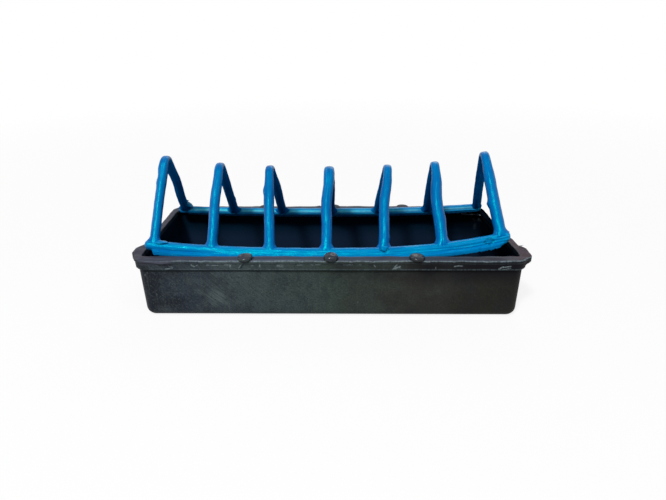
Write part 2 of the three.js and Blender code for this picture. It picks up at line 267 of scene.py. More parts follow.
inside_floor = ((20, 38, 58), FLOOR_CORNER_RADIUS, FLOOR_THICKNESS)
outside_floor = ((58, 38, 22), FLOOR_CORNER_RADIUS, 0)

# %% [markdown]
# The parts follow one another in one long table. A part that gives no inset of its own for the long sides
# takes its first number there again. The first row of some parts is kept, because wear and dirt go by them.

# %% The whole section
parts = [outside_floor, under_floor, outer_wall, skirt, rim_edge, rim_top, mouth_edge, flange, inner_wall,
         floor_fillet, inside_floor]
tables = [table(*part, *part[:4 - len(part)]) for part in parts]
inset, corner_radius, height, long_inset = np.concatenate(tables, axis=1)[..., None]
first_rows = np.cumsum([0] + [part.shape[1] for part in tables])
skirt_row, rim_edge_row, rim_top_row, mouth_row, flange_row, inner_row = first_rows[3:9]
print("rows in the trough's section:", height.size)

# %% [markdown]
# Round the outline each column knows where the centre of its rounding is, as a share of the half length and
# half width, and which way is out. With these four numbers a whole ring is one sum, and the corners keep
# their own rounding on every ring.

# %% The trough's outline
FRONT_STEPS, REAR_STEPS, SHORT_SIDE_STEPS, CORNER_STEPS = 470, 160, 84, 12
# sign of x and of y at each corner, and the steps of the side that follows it
CORNERS = [(1, 1, REAR_STEPS), (-1, 1, SHORT_SIDE_STEPS), (-1, -1, FRONT_STEPS), (1, -1, SHORT_SIDE_STEPS)]

columns = []
for corner, (sign_x, sign_y, steps) in enumerate(CORNERS):
    angles = arc(90 * corner, 90 * corner + 90, CORNER_STEPS)
    columns.append(table(sign_x, sign_y, np.cos(angles), np.sin(angles)))
    run = np.linspace(1, -1, steps + 1)[1:-1]
    if corner in (0, 2):
        columns.append(table(sign_x * run, sign_y, 0, sign_y))
    else:
        columns.append(table(sign_x, sign_y * run, sign_x, 0))
share_x, share_y, out_x, out_y = np.concatenate(columns, axis=1)[:, None]
print("columns round the trough:", share_x.size)


def outline_x(inset_mm, radius):
    """Half length less inset and radius, times the column's share, plus the radius along its way out."""
    return share_x * (TROUGH_LENGTH / 2 - inset_mm - radius) + radius * out_x


def outline_y(inset_mm, radius):
    """The same across the trough, with its half width."""
    return share_y * (TROUGH_WIDTH / 2 - inset_mm - radius) + radius * out_y


# %% [markdown]
# The real one is no longer true. Its right end has been pushed in towards the rear, more at the rim than at
# the foot. A lump of plastic stands out of each front corner, the long walls are a little wavy, and the rim
# has dents and chips. Each of these is a small move of the points that depends only on where they are, so
# it can be added to all of them at once. Three curves do nearly all of it: a smooth step, a bell, and a sum
# of a few waves.

# %% Steps, bells and waves
def smooth_step(value, low, high):
    """0 at low, 1 at high, and t * t * (3 - 2 t) between them. Low may be the larger of the two."""
    share = np.clip((value - low) / (high - low), 0, 1)
    return share * share * (3 - 2 * share)


def hill(value, middle, half_width):
    """The bell exp(-((value - middle) / half_width)^2)."""
    return np.exp(-((value - middle) / half_width) ** 2)


def waves(value, seed, lengths, size):
    """Size times the mean of sine waves that have the given lengths in mm, each with its own phase."""
    phases = np.random.default_rng(seed).uniform(0, 2 * math.pi, len(lengths))
    parts = [np.sin(2 * math.pi * value / length + phase) for length, phase in zip(lengths, phases)]
    return size * sum(parts) / len(lengths)


# %% Wear and warp of the trough
REAR_MOUTH_ROUNDING = 4.5
SKEW_AT_Y = (-60, -39, -21, -8, 30, 62)
SKEW = (0, 0, 1.8, 4.0, 8.4, 9.8)
SKEW_FROM_X, SKEW_TO_X, SKEW_AT_FOOT, SKEW_POWER = 70, 149, 0.4, 3
WALL_WAVE, RIM_WAVE = 0.5, 0.28

row = np.arange(height.size)[:, None]
is_mouth = smooth_step(row, mouth_row - 4, mouth_row) * (1 - 0.5 * smooth_step(height, 30, 8))
radius = corner_radius + REAR_MOUTH_ROUNDING * smooth_step(share_y, -0.4, 1) * is_mouth
trough_x = outline_x(inset, radius)
trough_y = outline_y(long_inset, radius)
trough_z = height + np.zeros_like(trough_x)
is_outer = row < rim_top_row

ear_from_to = np.where(trough_x[..., None] > 0, RIGHT_EAR_FROM_TO, LEFT_EAR_FROM_TO)
ear_front, ear_back = ear_from_to[..., 0], ear_from_to[..., 1]
ear_across = smooth_step(trough_y, ear_front, ear_front + 4) * smooth_step(trough_y, ear_back, ear_back - 8)
ear_up = smooth_step(trough_z, EAR_FOOT, EAR_FOOT + 2.8)
ear_edge = smooth_step(np.abs(trough_x), TROUGH_LENGTH / 2 - 4.5, TROUGH_LENGTH / 2 - 1.2)
to_ear_face = TROUGH_LENGTH / 2 + EAR_PROUD - np.abs(trough_x)
trough_x += np.sign(trough_x) * to_ear_face * ear_across * ear_up * ear_edge

skew = np.interp(trough_y, SKEW_AT_Y, SKEW) * smooth_step(trough_x, SKEW_FROM_X, SKEW_TO_X)
trough_x -= skew * between(SKEW_AT_FOOT, 1, (trough_z / TROUGH_HEIGHT) ** SKEW_POWER)

wall_wave = waves(trough_x, 3, (210, 133, 71), WALL_WAVE) * (np.abs(out_y) > 0.5)
trough_y += wall_wave * smooth_step(trough_z, 3, 30) * smooth_step(trough_z, band_bottom, band_bottom - 4)
rim_wave = waves(trough_x + 2 * trough_y, 5, (97, 41, 19), RIM_WAVE)
trough_z += (rim_wave - RIM_WAVE) * smooth_step(trough_z, band_bottom, TROUGH_HEIGHT)

# %% [markdown]
# Dents and chips are bells of their own width and depth. A positive depth pushes the point in, away from
# the eye, and a negative one raises a lump. The ones on the skirt work across the trough, and the ones on
# the rim work downwards.

# %% Dents, chips and lumps
# x and z in mm, half width, half height, depth
SKIRT_DENTS = [(-36.5, 46.2, 1.3, 1.3, -0.45), (-37, 45.4, 1.9, 1.7, 0.25), (33.9, 47, 1.2, 1, 0.3),
               (-126, 48.2, 6, 1.1, -1.1), (-138, 47.6, 9, 0.7, 0.3), (137, 48.3, 4, 0.8, 0.3),
               (-102, 43.4, 3, 0.8, 0.3), (-22, 43.6, 2, 0.7, 0.25), (62, 46.8, 2, 0.8, 0.2),
               (116, 43.4, 5, 0.8, 0.3), (-60, 45, 6, 2.5, 0.15), (20, 45, 9, 2.5, -0.12)]
# x and y in mm, half width, half depth, how deep
RIM_DENTS = [(-96, -61.5, 1.6, 1, 0.5), (-70, -61.6, 1.2, 0.9, 0.45), (-55, -61.8, 2, 0.8, 0.3),
             (-20, -61.6, 1.4, 0.9, 0.4), (17, -61.7, 1.8, 0.9, 0.45), (33, -61.5, 1, 0.9, 0.4),
             (74, -61.6, 1.8, 0.9, 0.5), (93, -61.6, 1.2, 0.8, 0.4), (118, -61.7, 2.4, 1, 0.5),
             (-130, -60.5, 6, 1.6, 0.9), (136.5, -51.5, 2.6, 1.6, -0.9), (150.5, -38, 1.4, 2.2, 0.9),
             (149.5, -31, 1.2, 1.6, 0.6), (-151.2, -44, 1.8, 4.5, -0.8), (-12.5, 60.5, 1.6, 1, -0.9),
             (126, -58.5, 5, 0.8, 0.35), (-142, -57, 3, 2, -0.5), (137, 47, 6, 8, 0.45)]
CHIP_DEPTH, FRAY_DEPTH = 0.22, 0.7

front_side = (out_y < -0.5) * is_outer
for x, z, wide, tall, depth in SKIRT_DENTS:
    trough_y += front_side * depth * hill(trough_x, x, wide) * hill(trough_z, z, tall)
rim_rows = smooth_step(trough_z, TROUGH_HEIGHT - 2.5, TROUGH_HEIGHT - 0.8)
for x, y, wide, deep, depth in RIM_DENTS:
    trough_z -= rim_rows * depth * hill(trough_x, x, wide) * hill(trough_y, y, deep)
chips = waves(trough_x + 1.7 * trough_y, 9, (5.3, 3.1, 2.2), CHIP_DEPTH)
at_rim_edge = hill(trough_z, TROUGH_HEIGHT - 0.5, 0.6) * is_outer
trough_z -= np.maximum(chips, 0) * at_rim_edge
frayed = hill(trough_x, 149, 8) * hill(trough_y, -33, 12) * at_rim_edge
trough_x -= frayed * np.abs(waves(trough_y, 12, (3.7, 2.3, 1.7), FRAY_DEPTH))

# %% [markdown]
# Scratches are thin strokes on the skirt and on the front wall. A stroke is a line between two points, and
# how strong it is at a place falls off with the distance from that line. The distance is found by dropping
# the place onto the line and holding the foot between the line's two ends.

# %% Scratches as strokes
# x and z of both ends in mm, half width, depth, paleness
STROKES = [(-123.8, 43.1, -118, 44.1, 0.5, 0.25, 0.7), (-120.5, 45.3, -118.3, 45, 0.4, 0.2, 0.5),
           (-103.5, 46.8, -101.7, 45.2, 0.5, 0.2, 0.9), (-101.7, 45.2, -98.4, 46.9, 0.4, 0.2, 0.55),
           (-91.9, 46.6, -90.4, 46.6, 0.4, 0.15, 0.7), (-88.1, 46.3, -83.2, 46.4, 0.4, 0.15, 0.6),
           (-78.4, 46.9, -73.6, 46.9, 0.5, 0.2, 0.9), (-74.2, 46.8, -74.3, 45.1, 0.45, 0.2, 0.9),
           (-64.2, 46.9, -66.4, 43.4, 0.55, 0.5, 0), (-66.2, 46.6, -67.8, 44.2, 0.4, 0.2, 0.6),
           (-58.1, 46, -56.9, 46, 0.4, 0.1, 0.5), (-51.9, 47.2, -52, 44.9, 0.45, 0.3, 0.9),
           (-38.4, 46, -35.2, 45.6, 1.4, 0, 0.45), (-23.8, 46.6, -19.3, 46.9, 0.45, 0.1, 0.55),
           (-13.4, 46.8, -11.6, 46.6, 0.4, 0.1, 0.5), (-10.1, 47, -5.9, 47.2, 0.45, 0.1, 0.6),
           (10.9, 46.9, 17.8, 47, 0.45, 0.2, 0.5), (22.8, 46.9, 24.2, 46.9, 0.4, 0.2, 0.6),
           (33.4, 47.3, 34.8, 45.2, 0.45, 0.3, 0.5), (48, 43.2, 50.9, 46.9, 0.5, 0.3, 0.9),
           (49.6, 43.9, 53.2, 45.4, 0.7, 0.3, 0.9), (53.2, 45.6, 53.4, 43.8, 0.4, 0.2, 0.5),
           (79.6, 45.1, 80.2, 43.2, 0.4, 0.1, 0.5), (93.7, 45.5, 96.6, 46.1, 0.45, 0.2, 1),
           (97.4, 46.1, 99.6, 45.8, 0.4, 0.2, 0.8), (127, 43.5, 129.6, 45.2, 0.55, 0.3, 1),
           (129.6, 44.8, 135.2, 45.6, 0.5, 0.2, 0.8), (129.5, 42.9, 135.5, 44, 0.35, 0.2, 0.6),
           (-138.5, 40.1, -141.5, 35.5, 0.45, 0.2, 0.5), (-134.4, 21.9, -134.3, 14.7, 0.6, 0, 0.25),
           (20.4, 15.2, 22.2, 13.4, 0.4, 0.05, 0.4), (-31, 20, -30, 19.4, 0.4, 0, 0.4),
           (64.5, 33, 65.3, 32.4, 0.4, 0, 0.4)]


def stroke(x, z, x1, z1, x2, z2, half_width):
    """exp(-(d / w)^2): d is the distance to the line from (x1, z1) to (x2, z2), w is the half width."""
    run_x, run_z = x2 - x1, z2 - z1
    share = np.clip(((x - x1) * run_x + (z - z1) * run_z) / (run_x ** 2 + run_z ** 2), 0, 1)
    return hill(np.hypot(x - x1 - share * run_x, z - z1 - share * run_z), 0, half_width)


scratched_and_glint, notch_painted_shade = np.zeros_like(trough_x), np.zeros_like(trough_x)
for *line, half_width, depth, paleness in STROKES:
    strength = front_side * stroke(trough_x, trough_z, *line, half_width)
    trough_y += depth * strength
    scratched_and_glint = np.maximum(scratched_and_glint, paleness * strength)
    notch_painted_shade = np.maximum(notch_painted_shade, strength * (paleness == 0))

# x and z of a painted highlight on the inside of the rear wall, half width, half height, paleness
REAR_CORNER_GLINTS = [(133, 38.6, 2, 1.6, 0.34), (137, 40.5, 1.8, 2, 0.3), (134.5, 32, 3.5, 8, 0.16)]
on_rear_wall = (trough_y > 44) * (1 - is_outer)
for x, z, wide, tall, paleness in REAR_CORNER_GLINTS:
    strength = on_rear_wall * hill(trough_x, x, wide) * hill(trough_z, z, tall)
    scratched_and_glint = np.maximum(scratched_and_glint, paleness * strength)
print("scratches:", len(STROKES))

# %% [markdown]
# The mesh also carries four marks that the material reads: what lies inside, which also paints shade on the
# rim top at the rear right and in notches; where it has scratches and painted highlights; which edges have
# wear and painted highlights; and the light smear on the left of the skirt. Edges are found by their row in
# the section.

# %% The trough as a mesh
inside = np.zeros_like(trough_x)
inside[flange_row:] = 0.6
inside[inner_row - 1:] = 1
# Painted shade: the rim top at the rear right is painted with the inside's dark colour.
rear_right_painted_shade = smooth_step(trough_y, -12, 8) * smooth_step(trough_x, 112, 120)
inside = np.maximum(inside, rear_right_painted_shade * (height > TROUGH_HEIGHT - 2.2))
# Painted shade: notches are painted with the inside's dark colour.
inside = np.maximum(inside, 0.8 * notch_painted_shade)
SMEAR_FROM_Z, SMEAR_WAVE = 46.4, 0.9
smear_edge = SMEAR_FROM_Z + waves(trough_x, 61, (9.0, 5.1, 3.3), SMEAR_WAVE)
smeared = smooth_step(trough_z, smear_edge, smear_edge + 0.7) * front_side
smeared = smeared * smooth_step(trough_x, -146, -141) * smooth_step(trough_x, -116, -121)
# row of the edge, half width in rows, how much wear and painted highlight it has
WORN_AND_HIGHLIT_EDGES = [(rim_top_row - 3, 1.6, 1), (mouth_row + 1, 1.4, 0.5), (skirt_row + 4, 0.9, 0.6),
                (rim_edge_row - 3, 1, 0.25)]
rubbed_and_highlit = sum(share * hill(row, middle, wide) for middle, wide, share in WORN_AND_HIGHLIT_EDGES) * (1 - rear_right_painted_shade)
trough = closed_piece("trough_moulding", grid_of(trough_x, trough_y, trough_z),
                      marks={"inside": inside, "scratched_and_glint": scratched_and_glint, "rubbed_and_highlit": rubbed_and_highlit, "smeared": smeared})

# %% [markdown]
# ## The rest pads
# The rails lie on something inside the mouth, hidden below them. The part has a small bracket there under
# each stud, flat on top and sloped underneath. Each is a rounded wedge section that is carried a few
# millimetres along the wall.

# %% Rest pads
PAD_DROP, PAD_WIDTH, PAD_FACE, PAD_REACH, PAD_SLOPE = 6.2, 9, 1.6, 7.8, 7.8
STUD_PITCH, STUD_ROW_SHIFT = 64.5, 1.4
stud_places = [(side, (index - 1) * STUD_PITCH + STUD_ROW_SHIFT) for side in (-1, 1) for index in range(3)]
pad_top = TROUGH_HEIGHT - PAD_DROP


def rest_pad(name, side, x):
    """A wedge section at stations along x, smaller at both ends. Its corners are cut off three times."""
    root = mouth_half_width + 1.2
    tip = mouth_half_width - PAD_REACH
    corners = np.array([(root, pad_top), (tip, pad_top), (tip, pad_top - PAD_FACE),
                        (root, pad_top - PAD_FACE - PAD_SLOPE)])
    for _ in range(3):
        ahead = np.roll(corners, -1, axis=0)
        cuts = [between(corners, ahead, share) for share in (0.2, 0.8)]
        corners = np.stack(cuts, axis=1).reshape(-1, 2)
    stations = np.array([-0.5, -0.47, -0.42, 0.42, 0.47, 0.5])[:, None] * PAD_WIDTH
    shrink = np.array([0.86, 0.95, 1, 1, 0.95, 0.86])[:, None]
    y, z = (between(axis.mean(), axis, shrink) for axis in corners.T)
    return closed_piece(name, grid_of(x + stations, side * y, z), marks={"inside": 1})


ROW_NAMES = {-1: "front", 1: "rear"}
PLACE_NAMES = ("left", "middle", "right")
pads = [rest_pad(f"{ROW_NAMES[side]}_rest_pad_{PLACE_NAMES[i % 3]}", side, x)
        for i, (side, x) in enumerate(stud_places)]

# %% [markdown]
# ## The studs
# Six mushroom heads stand on the rim. They are turned shapes, so a profile of radius and height is carried
# round an axis. The real heads have been pushed over, worn and nicked, each in its own way: one stands
# askew, one is rough on top, and the rear ones are flatter. So each head gets its own dome height, tilt,
# stretch and roughness.

# %% Sizes of the studs
STUD_FROM_EDGE, STUD_SUNK = 3.2, 0.25
HEAD_RADIUS, HEAD_RIM, HEAD_EDGE_RADIUS, NECK_RADIUS, NECK_HEIGHT = 5.75, 0.6, 0.35, 2.6, 0.6
SHANK_RADIUS, SHANK_LENGTH = 1.6, 5
STUD_COLUMNS = 64
LEAN_SHARE, DOME_POWER, LUMP_SHARE = 0.35, 0.85, 0.03
# x, half width, y and half depth of a dent in the dome, from the stud's axis
HEAD_DENTS = [(1.8, 1.3, -1.5, 1), (-2.2, 1, 0.5, 1.4)]
HEAD_DENT_DEPTH = 0.5

# dome height, how far it is sunk, tilt to the right and to the front in degrees, stretch, roughness, turn
STUD_FORMS = {
    "front_stud_left": (1.9, -0.7, -12, 4, 1.0, 0.25, 0.4),
    "front_stud_middle": (3.3, -0.5, 0, 2, 0.98, 0.9, 2.1),
    "front_stud_right": (1.9, -0.7, 3, 4, 1.02, 0.2, 4.4),
    "rear_stud_left": (0.7, 0.9, 2, 0, 0.95, 0.25, 1.1),
    "rear_stud_middle": (0.6, 0.9, -2, 0, 0.95, 0.35, 3.2),
    "rear_stud_right": (0.7, 0.9, 1, 0, 0.95, 0.2, 5.0),
}


def full_turn(steps):
    """The angles of one whole turn, without the last, which is the first again."""
    return np.linspace(0, 2 * math.pi, steps, endpoint=False)


def stud_piece(name, side, x):
    """Rows go from the foot of the shank up its side, out under the head, round its rim and over the dome."""
    dome, sunk, tilt_right, tilt_front, stretch, rough, nick_turn = STUD_FORMS[name]
    dome_base = NECK_HEIGHT + HEAD_RIM
    rim_turn = arc(-90, 0, 5)
    dome_turn = arc(0, 88, 14)
    radius = np.concatenate([
        [0.6, SHANK_RADIUS - 0.2, SHANK_RADIUS, SHANK_RADIUS, NECK_RADIUS, NECK_RADIUS, NECK_RADIUS + 0.8],
        HEAD_RADIUS - HEAD_EDGE_RADIUS * (1 - np.cos(rim_turn)),
        HEAD_RADIUS * np.cos(dome_turn) ** DOME_POWER])
    z = np.concatenate([
        [-SHANK_LENGTH, -SHANK_LENGTH, -SHANK_LENGTH + 0.3, -0.02, 0.02, NECK_HEIGHT - 0.15, NECK_HEIGHT],
        NECK_HEIGHT + HEAD_EDGE_RADIUS * (1 + np.sin(rim_turn)), dome_base + dome * np.sin(dome_turn)])
    angle = full_turn(STUD_COLUMNS)
    radius, z = radius[:, None], z[:, None]
    is_head = smooth_step(z, NECK_HEIGHT - 0.1, dome_base)
    lobes = ((0.5, 3, nick_turn), (0.3, 5, 2 * nick_turn), (0.2, 11, 0))
    lump = sum(share * np.sin(count * angle + turn) for share, count, turn in lobes)
    reach = radius * (1 + is_head * LUMP_SHARE * rough * (lump - 1))
    flat_x = reach * np.cos(angle) * stretch
    flat_y = reach * np.sin(angle)
    dents = sum(hill(flat_x, at_x, wide) * hill(flat_y, at_y, deep) for at_x, wide, at_y, deep in HEAD_DENTS)
    lean_x, lean_y = math.tan(math.radians(tilt_right)), math.tan(math.radians(tilt_front))
    lean = LEAN_SHARE * (flat_y * lean_y - flat_x * lean_x)
    flat_z = z + is_head * (lean - rough * HEAD_DENT_DEPTH * dents - sunk)
    place_y = side * (TROUGH_WIDTH / 2 - STUD_FROM_EDGE)
    grid = grid_of(x + flat_x, place_y + flat_y, TROUGH_HEIGHT - STUD_SUNK + flat_z)
    return closed_piece(name.replace("stud", "stud_head"), grid)


studs = {}
for i, (side, x) in enumerate(stud_places):
    node_name = f"{ROW_NAMES[side]}_stud_{PLACE_NAMES[i % 3]}"
    studs[node_name] = stud_piece(node_name, side, x)

# %% [markdown]
# ## The rails of the grid
# Each rail is a round bar with a lip along the foot of its outer side. Near its ends the lip fades away,
# and only the round bar is left. So every section point has two places, one on the lipped section and one
# on a plain circle, and slides from one to the other towards the ends. Both rails have been bent up towards
# their ends, most of all at the front on the right.

# %% Sizes of the rails
RAIL_RADIUS, LIP_PROUD, LIP_DROP, LIP_HEIGHT, LIP_SETBACK = 3.8, 2.3, 1.8, 4.2, 0.8
LIFT_CLEARANCE, SEAT_GAP = 0.3, 0.3
RAIL_Y = TROUGH_WIDTH / 2 - STUD_FROM_EDGE - HEAD_RADIUS - LIFT_CLEARANCE - LIP_PROUD - RAIL_RADIUS
RAIL_Z = pad_top + SEAT_GAP + LIP_DROP + RAIL_RADIUS
MOUTH_HALF_LENGTH = TROUGH_LENGTH / 2 - BAND_PROUD - WALL_THICKNESS
RAIL_LEFT, RAIL_RIGHT = 2.3 - MOUTH_HALF_LENGTH, MOUTH_HALF_LENGTH - 7.7
GRID_SHIFT, END_HOOP_X, BOW_POWER = -1.3, MOUTH_HALF_LENGTH - 10.8, 2.55
# for the front rail (-1) and the rear rail (1): lift at the left and at the right end hoop, thickness
LIFTS = {-1: (6.0, 12.7), 1: (2.5, 4.0)}
BAR_SHARES = {-1: 1, 1: 0.89}


def bow(lifts, x):
    """lift * (distance from the grid's middle / that of the end hoop) ^ power, with a lift for each side."""
    from_middle = x - GRID_SHIFT
    lift = np.where(from_middle < 0, lifts[0], lifts[1])
    return lift * (np.abs(from_middle) / END_HOOP_X) ** BOW_POWER


def rail_z(side, x):
    """Height of a rail's centre line. A thinner bar lies lower on the same pads."""
    return RAIL_Z - RAIL_RADIUS * (1 - BAR_SHARES[side]) + bow(LIFTS[side], x)


# %% The rail's section
lip_top = LIP_HEIGHT - LIP_DROP - RAIL_RADIUS
lip_bottom = -RAIL_RADIUS - LIP_DROP
lip_out = RAIL_RADIUS + LIP_PROUD
bar_turn = arc(-20, 276, 46)
lip_points = np.array([
    (LIP_SETBACK - 0.1, -4.6), (LIP_SETBACK + 0.1, lip_bottom + 0.35), (LIP_SETBACK + 0.5, lip_bottom),
    (LIP_SETBACK + 2, lip_bottom), (lip_out - 1.5, lip_bottom), (lip_out - 0.6, lip_bottom + 0.05),
    (lip_out - 0.15, lip_bottom + 0.4), (lip_out, lip_bottom + 1), (lip_out, lip_top - 1.2),
    (lip_out - 0.15, lip_top - 0.5), (lip_out - 0.5, lip_top - 0.15), (lip_out - 1.1, lip_top - 0.05),
    (RAIL_RADIUS + 0.5, lip_top - 0.2), (RAIL_RADIUS - 0.05, lip_top - 0.3)])
lip_turn = arc(282, 336, len(lip_points))
creased = np.concatenate([RAIL_RADIUS * on_circle(bar_turn), lip_points])
section_turn = np.concatenate([bar_turn, lip_turn])
round_section = RAIL_RADIUS * on_circle(section_turn)
is_bar = np.concatenate([np.ones(bar_turn.size), np.zeros(lip_turn.size)])

# %% [markdown]
# Between the bar and its lip the plastic is mostly smooth: a straight slope joins them. Near the left end
# there is a crease instead, and on the right a shallower one. The slope uses the same points as the crease,
# spread evenly along a line, so that one can pass into the other along the rail.

# %% The smooth slope between bar and lip
SLOPE_TOP_TURN = math.radians(28)
order = np.roll(np.arange(len(creased)), 3)
on_slope = np.concatenate([order[:3], np.flatnonzero(bar_turn < SLOPE_TOP_TURN)])
slope_start = creased[-4]
slope_end = RAIL_RADIUS * on_circle(SLOPE_TOP_TURN)
slope_share = (np.arange(on_slope.size) + 1)[:, None] / (on_slope.size + 1)
sloped = creased.copy()
sloped[on_slope] = between(slope_start, slope_end, slope_share)
print("points on the slope:", on_slope.size)

# %% [markdown]
# The bar's ends are rounded like a loaf: near an end the whole section shrinks along a quarter circle. The
# surface has long ridges where the mould was filled from one end, strongest on the right of the front rail,
# and an oval mark is pushed into it there, with painted shade in its groove.

# %% The rails
RAIL_END_LENGTH = 3.2
# the oval's middle in x and up the bar, its half length and half height, and a crease as three lines; both
# are dented in, with painted shade in them
OVAL_MARK = (120.2, 0.9, 3.1, 1.6)
FOOT_CREASE = [(38.8, 3, 41.4, 1.5), (41.4, 1.5, 43, 1.5), (43, 1.5, 45.6, 3)]
PRESSED_DEPTH = 0.55
# how far from the right end the lip begins, and where it has its full size
LIP_ENDS = {-1: (0.5, 11.5), 1: (5.6, 8.2)}
RIDGE_COUNT, RIDGE_TWIST, RIDGE_HEIGHTS = 9, 0.012, (0.04, 0.3)
HIGHLIGHT_LINE_TURN = math.radians(154)
FAR_SIDE_TURNS = {-1: math.radians(95), 1: math.radians(83)}


def rail_piece(name, side):
    """Stations along x. The section is blended between round and lipped, and follows the bow."""
    end = RAIL_END_LENGTH * (1 - np.cos(arc(8, 90, 9)))
    middle = np.linspace(RAIL_LEFT + RAIL_END_LENGTH, RAIL_RIGHT - RAIL_END_LENGTH, 440)[1:-1]
    x = np.concatenate([RAIL_LEFT + end, middle, (RAIL_RIGHT - end)[::-1]])[:, None]
    from_left, from_right = x - RAIL_LEFT, RAIL_RIGHT - x
    end_share = np.clip(np.minimum(from_left, from_right) / RAIL_END_LENGTH, 0, 1)
    swell = np.sqrt(1 - (1 - end_share) ** 2)
    ragged = waves(x, 21 + side, (7.1, 4.3, 2.9), 0.9)
    has_lip = smooth_step(from_left + ragged, 5.6, 8.2) * smooth_step(from_right + ragged, *LIP_ENDS[side])
    has_crease = smooth_step(x, -150, -125) * smooth_step(x, -78, -112) + 0.6 * smooth_step(x, 62, 105)
    ridges = np.cos(RIDGE_COUNT * section_turn + RIDGE_TWIST * x) * between(0.3, 1, is_bar)
    ridges = ridges * between(*RIDGE_HEIGHTS, smooth_step(x, 40, 120))
    ripple = waves(x, 31 + side, (47, 23, 13.7), 0.12) * is_bar
    grow = (1 + (ridges + ripple) / RAIL_RADIUS) * swell
    u, v = (grow * between(ring, between(slope, crease, has_crease), has_lip)
            for ring, slope, crease in zip(round_section.T, sloped.T, creased.T))
    rough_lip = waves(x, 41 + side, (6.1, 3.7, 2.3), 0.22) * (1 + 2.2 * smooth_step(x, 95, 120))
    v = v + rough_lip * (1 - is_bar) * has_lip * swell
    # The oval and the crease are dented in, and the same mark paints them dark: painted shade in their
    # grooves.
    pressed_and_shaded = np.zeros(u.shape)
    if side < 0:
        mark_x, mark_v, long, tall = OVAL_MARK
        pressed_and_shaded = hill(np.hypot((x - mark_x) / long, (v - mark_v) / tall), 1, 0.3) * (u > 1.5)
        for line in FOOT_CREASE:
            pressed_and_shaded = np.maximum(pressed_and_shaded, stroke(x, v, *line, 0.5) * (u > 0.5))
        u = u - PRESSED_DEPTH * pressed_and_shaded
    bar_share = BAR_SHARES[side]
    grid = grid_of(x, side * (RAIL_Y + u * bar_share), rail_z(side, x) + v * bar_share)
    # Painted highlight: a pale line along the upper front of the rear rail.
    painted_highlight = hill(section_turn, HIGHLIGHT_LINE_TURN, 0.34) * (0.85 + waves(x, 71, (23, 11, 5.3), 0.3)) * (side > 0)
    far_side = side * (FAR_SIDE_TURNS[side] - section_turn)
    marks = {"pressed_and_shaded": pressed_and_shaded, "painted_highlight": painted_highlight, "matt": smooth_step(far_side, -0.17, 0.17)}
    return closed_piece(name, grid, grid_of(x, u, v), marks)


rails = {-1: rail_piece("front_rail_bar", -1), 1: rail_piece("rear_rail_bar", 1)}

# %% [markdown]
# ## The hoops of the grid
# Seven round bars rise from the front rail, bend over at the top and go down to the rear rail, like an
# upside-down V with a rounded point. In the real moulding a hoop and its rails are one piece of plastic,
# and the foot of each leg spreads along the rail. A plain tube would meet the rail in a hard line, so the
# first rings of each leg are not round: they widen along the rail, and each point slides along the leg
# until it touches the rail's surface.

# %% The line of a hoop
HOOP_RADIUS, HOOP_HEIGHT, APEX_RADIUS = 3.8, 51.5, 6.2
HOOP_EXTRA = (5.5, 3.8)
# one number for each hoop, from left to right: lean as a share of the height, moves of the feet, bends of
# the legs and extra height in mm, and thickness as a share of HOOP_RADIUS
HOOP_LEANS = (0.04, 0.02, -0.057, 0.01, 0.057, -0.07, -0.17)
FRONT_FOOT_SHIFTS = (-0.3, -0.7, -0.3, -1.0, -1.4, -1.1, -1.9)
REAR_FOOT_SHIFTS = (-0.8, 0.2, 0.4, 0.3, -1.3, -0.6, 0)
FRONT_BENDS = (-0.2, -0.8, -0.4, -1.1, -1.1, -1.2, 0.1)
REAR_BENDS = (1.2, 0, 0.8, 0.6, 0.4, 0, 0)
HOOP_TOPS = (0, 0.4, 0.9, -0.2, 1.1, 0, 0.35)
FRONT_LEG_SHARES = (0.97, 1.05, 1.08, 1.12, 1.08, 1.2, 1.15)
TOP_SHARES = (0.9, 0.9, 0.9, 1.1, 0.9, 0.9, 0.9)
HOOP_COLUMNS, FOOT_ROWS, LEG_ROWS, ARC_ROWS = 32, 9, 26, 22
FOOT_LENGTH, FOOT_SUNK = 9, 0.45
FRONT_FLARE, FRONT_SQUEEZE, REAR_SQUEEZE, FLARE_POWER = 0.55, 0.07, 0.35, 2.4
REAR_FLARES = (0.6, 0.9, 0.9, 0.9, 0.9, 0.8, 0.25)
TOP_FROM, TOP_FULL, TOP_SQUARENESS = 16, 2, 1.2
BEND_FROM_HEIGHT, BEND_SHORTER, BEND_POWER = 8, 14, 1.35


def hoop_frame(index):
    """Its x, its feet on the rails' centre lines, the way up with its lean, and how tall it is."""
    x = GRID_SHIFT + END_HOOP_X * (index / 3 - 1)
    tall = HOOP_HEIGHT + float(bow(HOOP_EXTRA, x)) + HOOP_TOPS[index]
    front_x, rear_x = x + FRONT_FOOT_SHIFTS[index], x + REAR_FOOT_SHIFTS[index]
    front = np.array([front_x, -RAIL_Y, float(rail_z(-1, front_x))])
    rear = np.array([rear_x, RAIL_Y, float(rail_z(1, rear_x))])
    rise = np.array([HOOP_LEANS[index] * tall, 0, tall])
    return x, front, rear, rise, tall


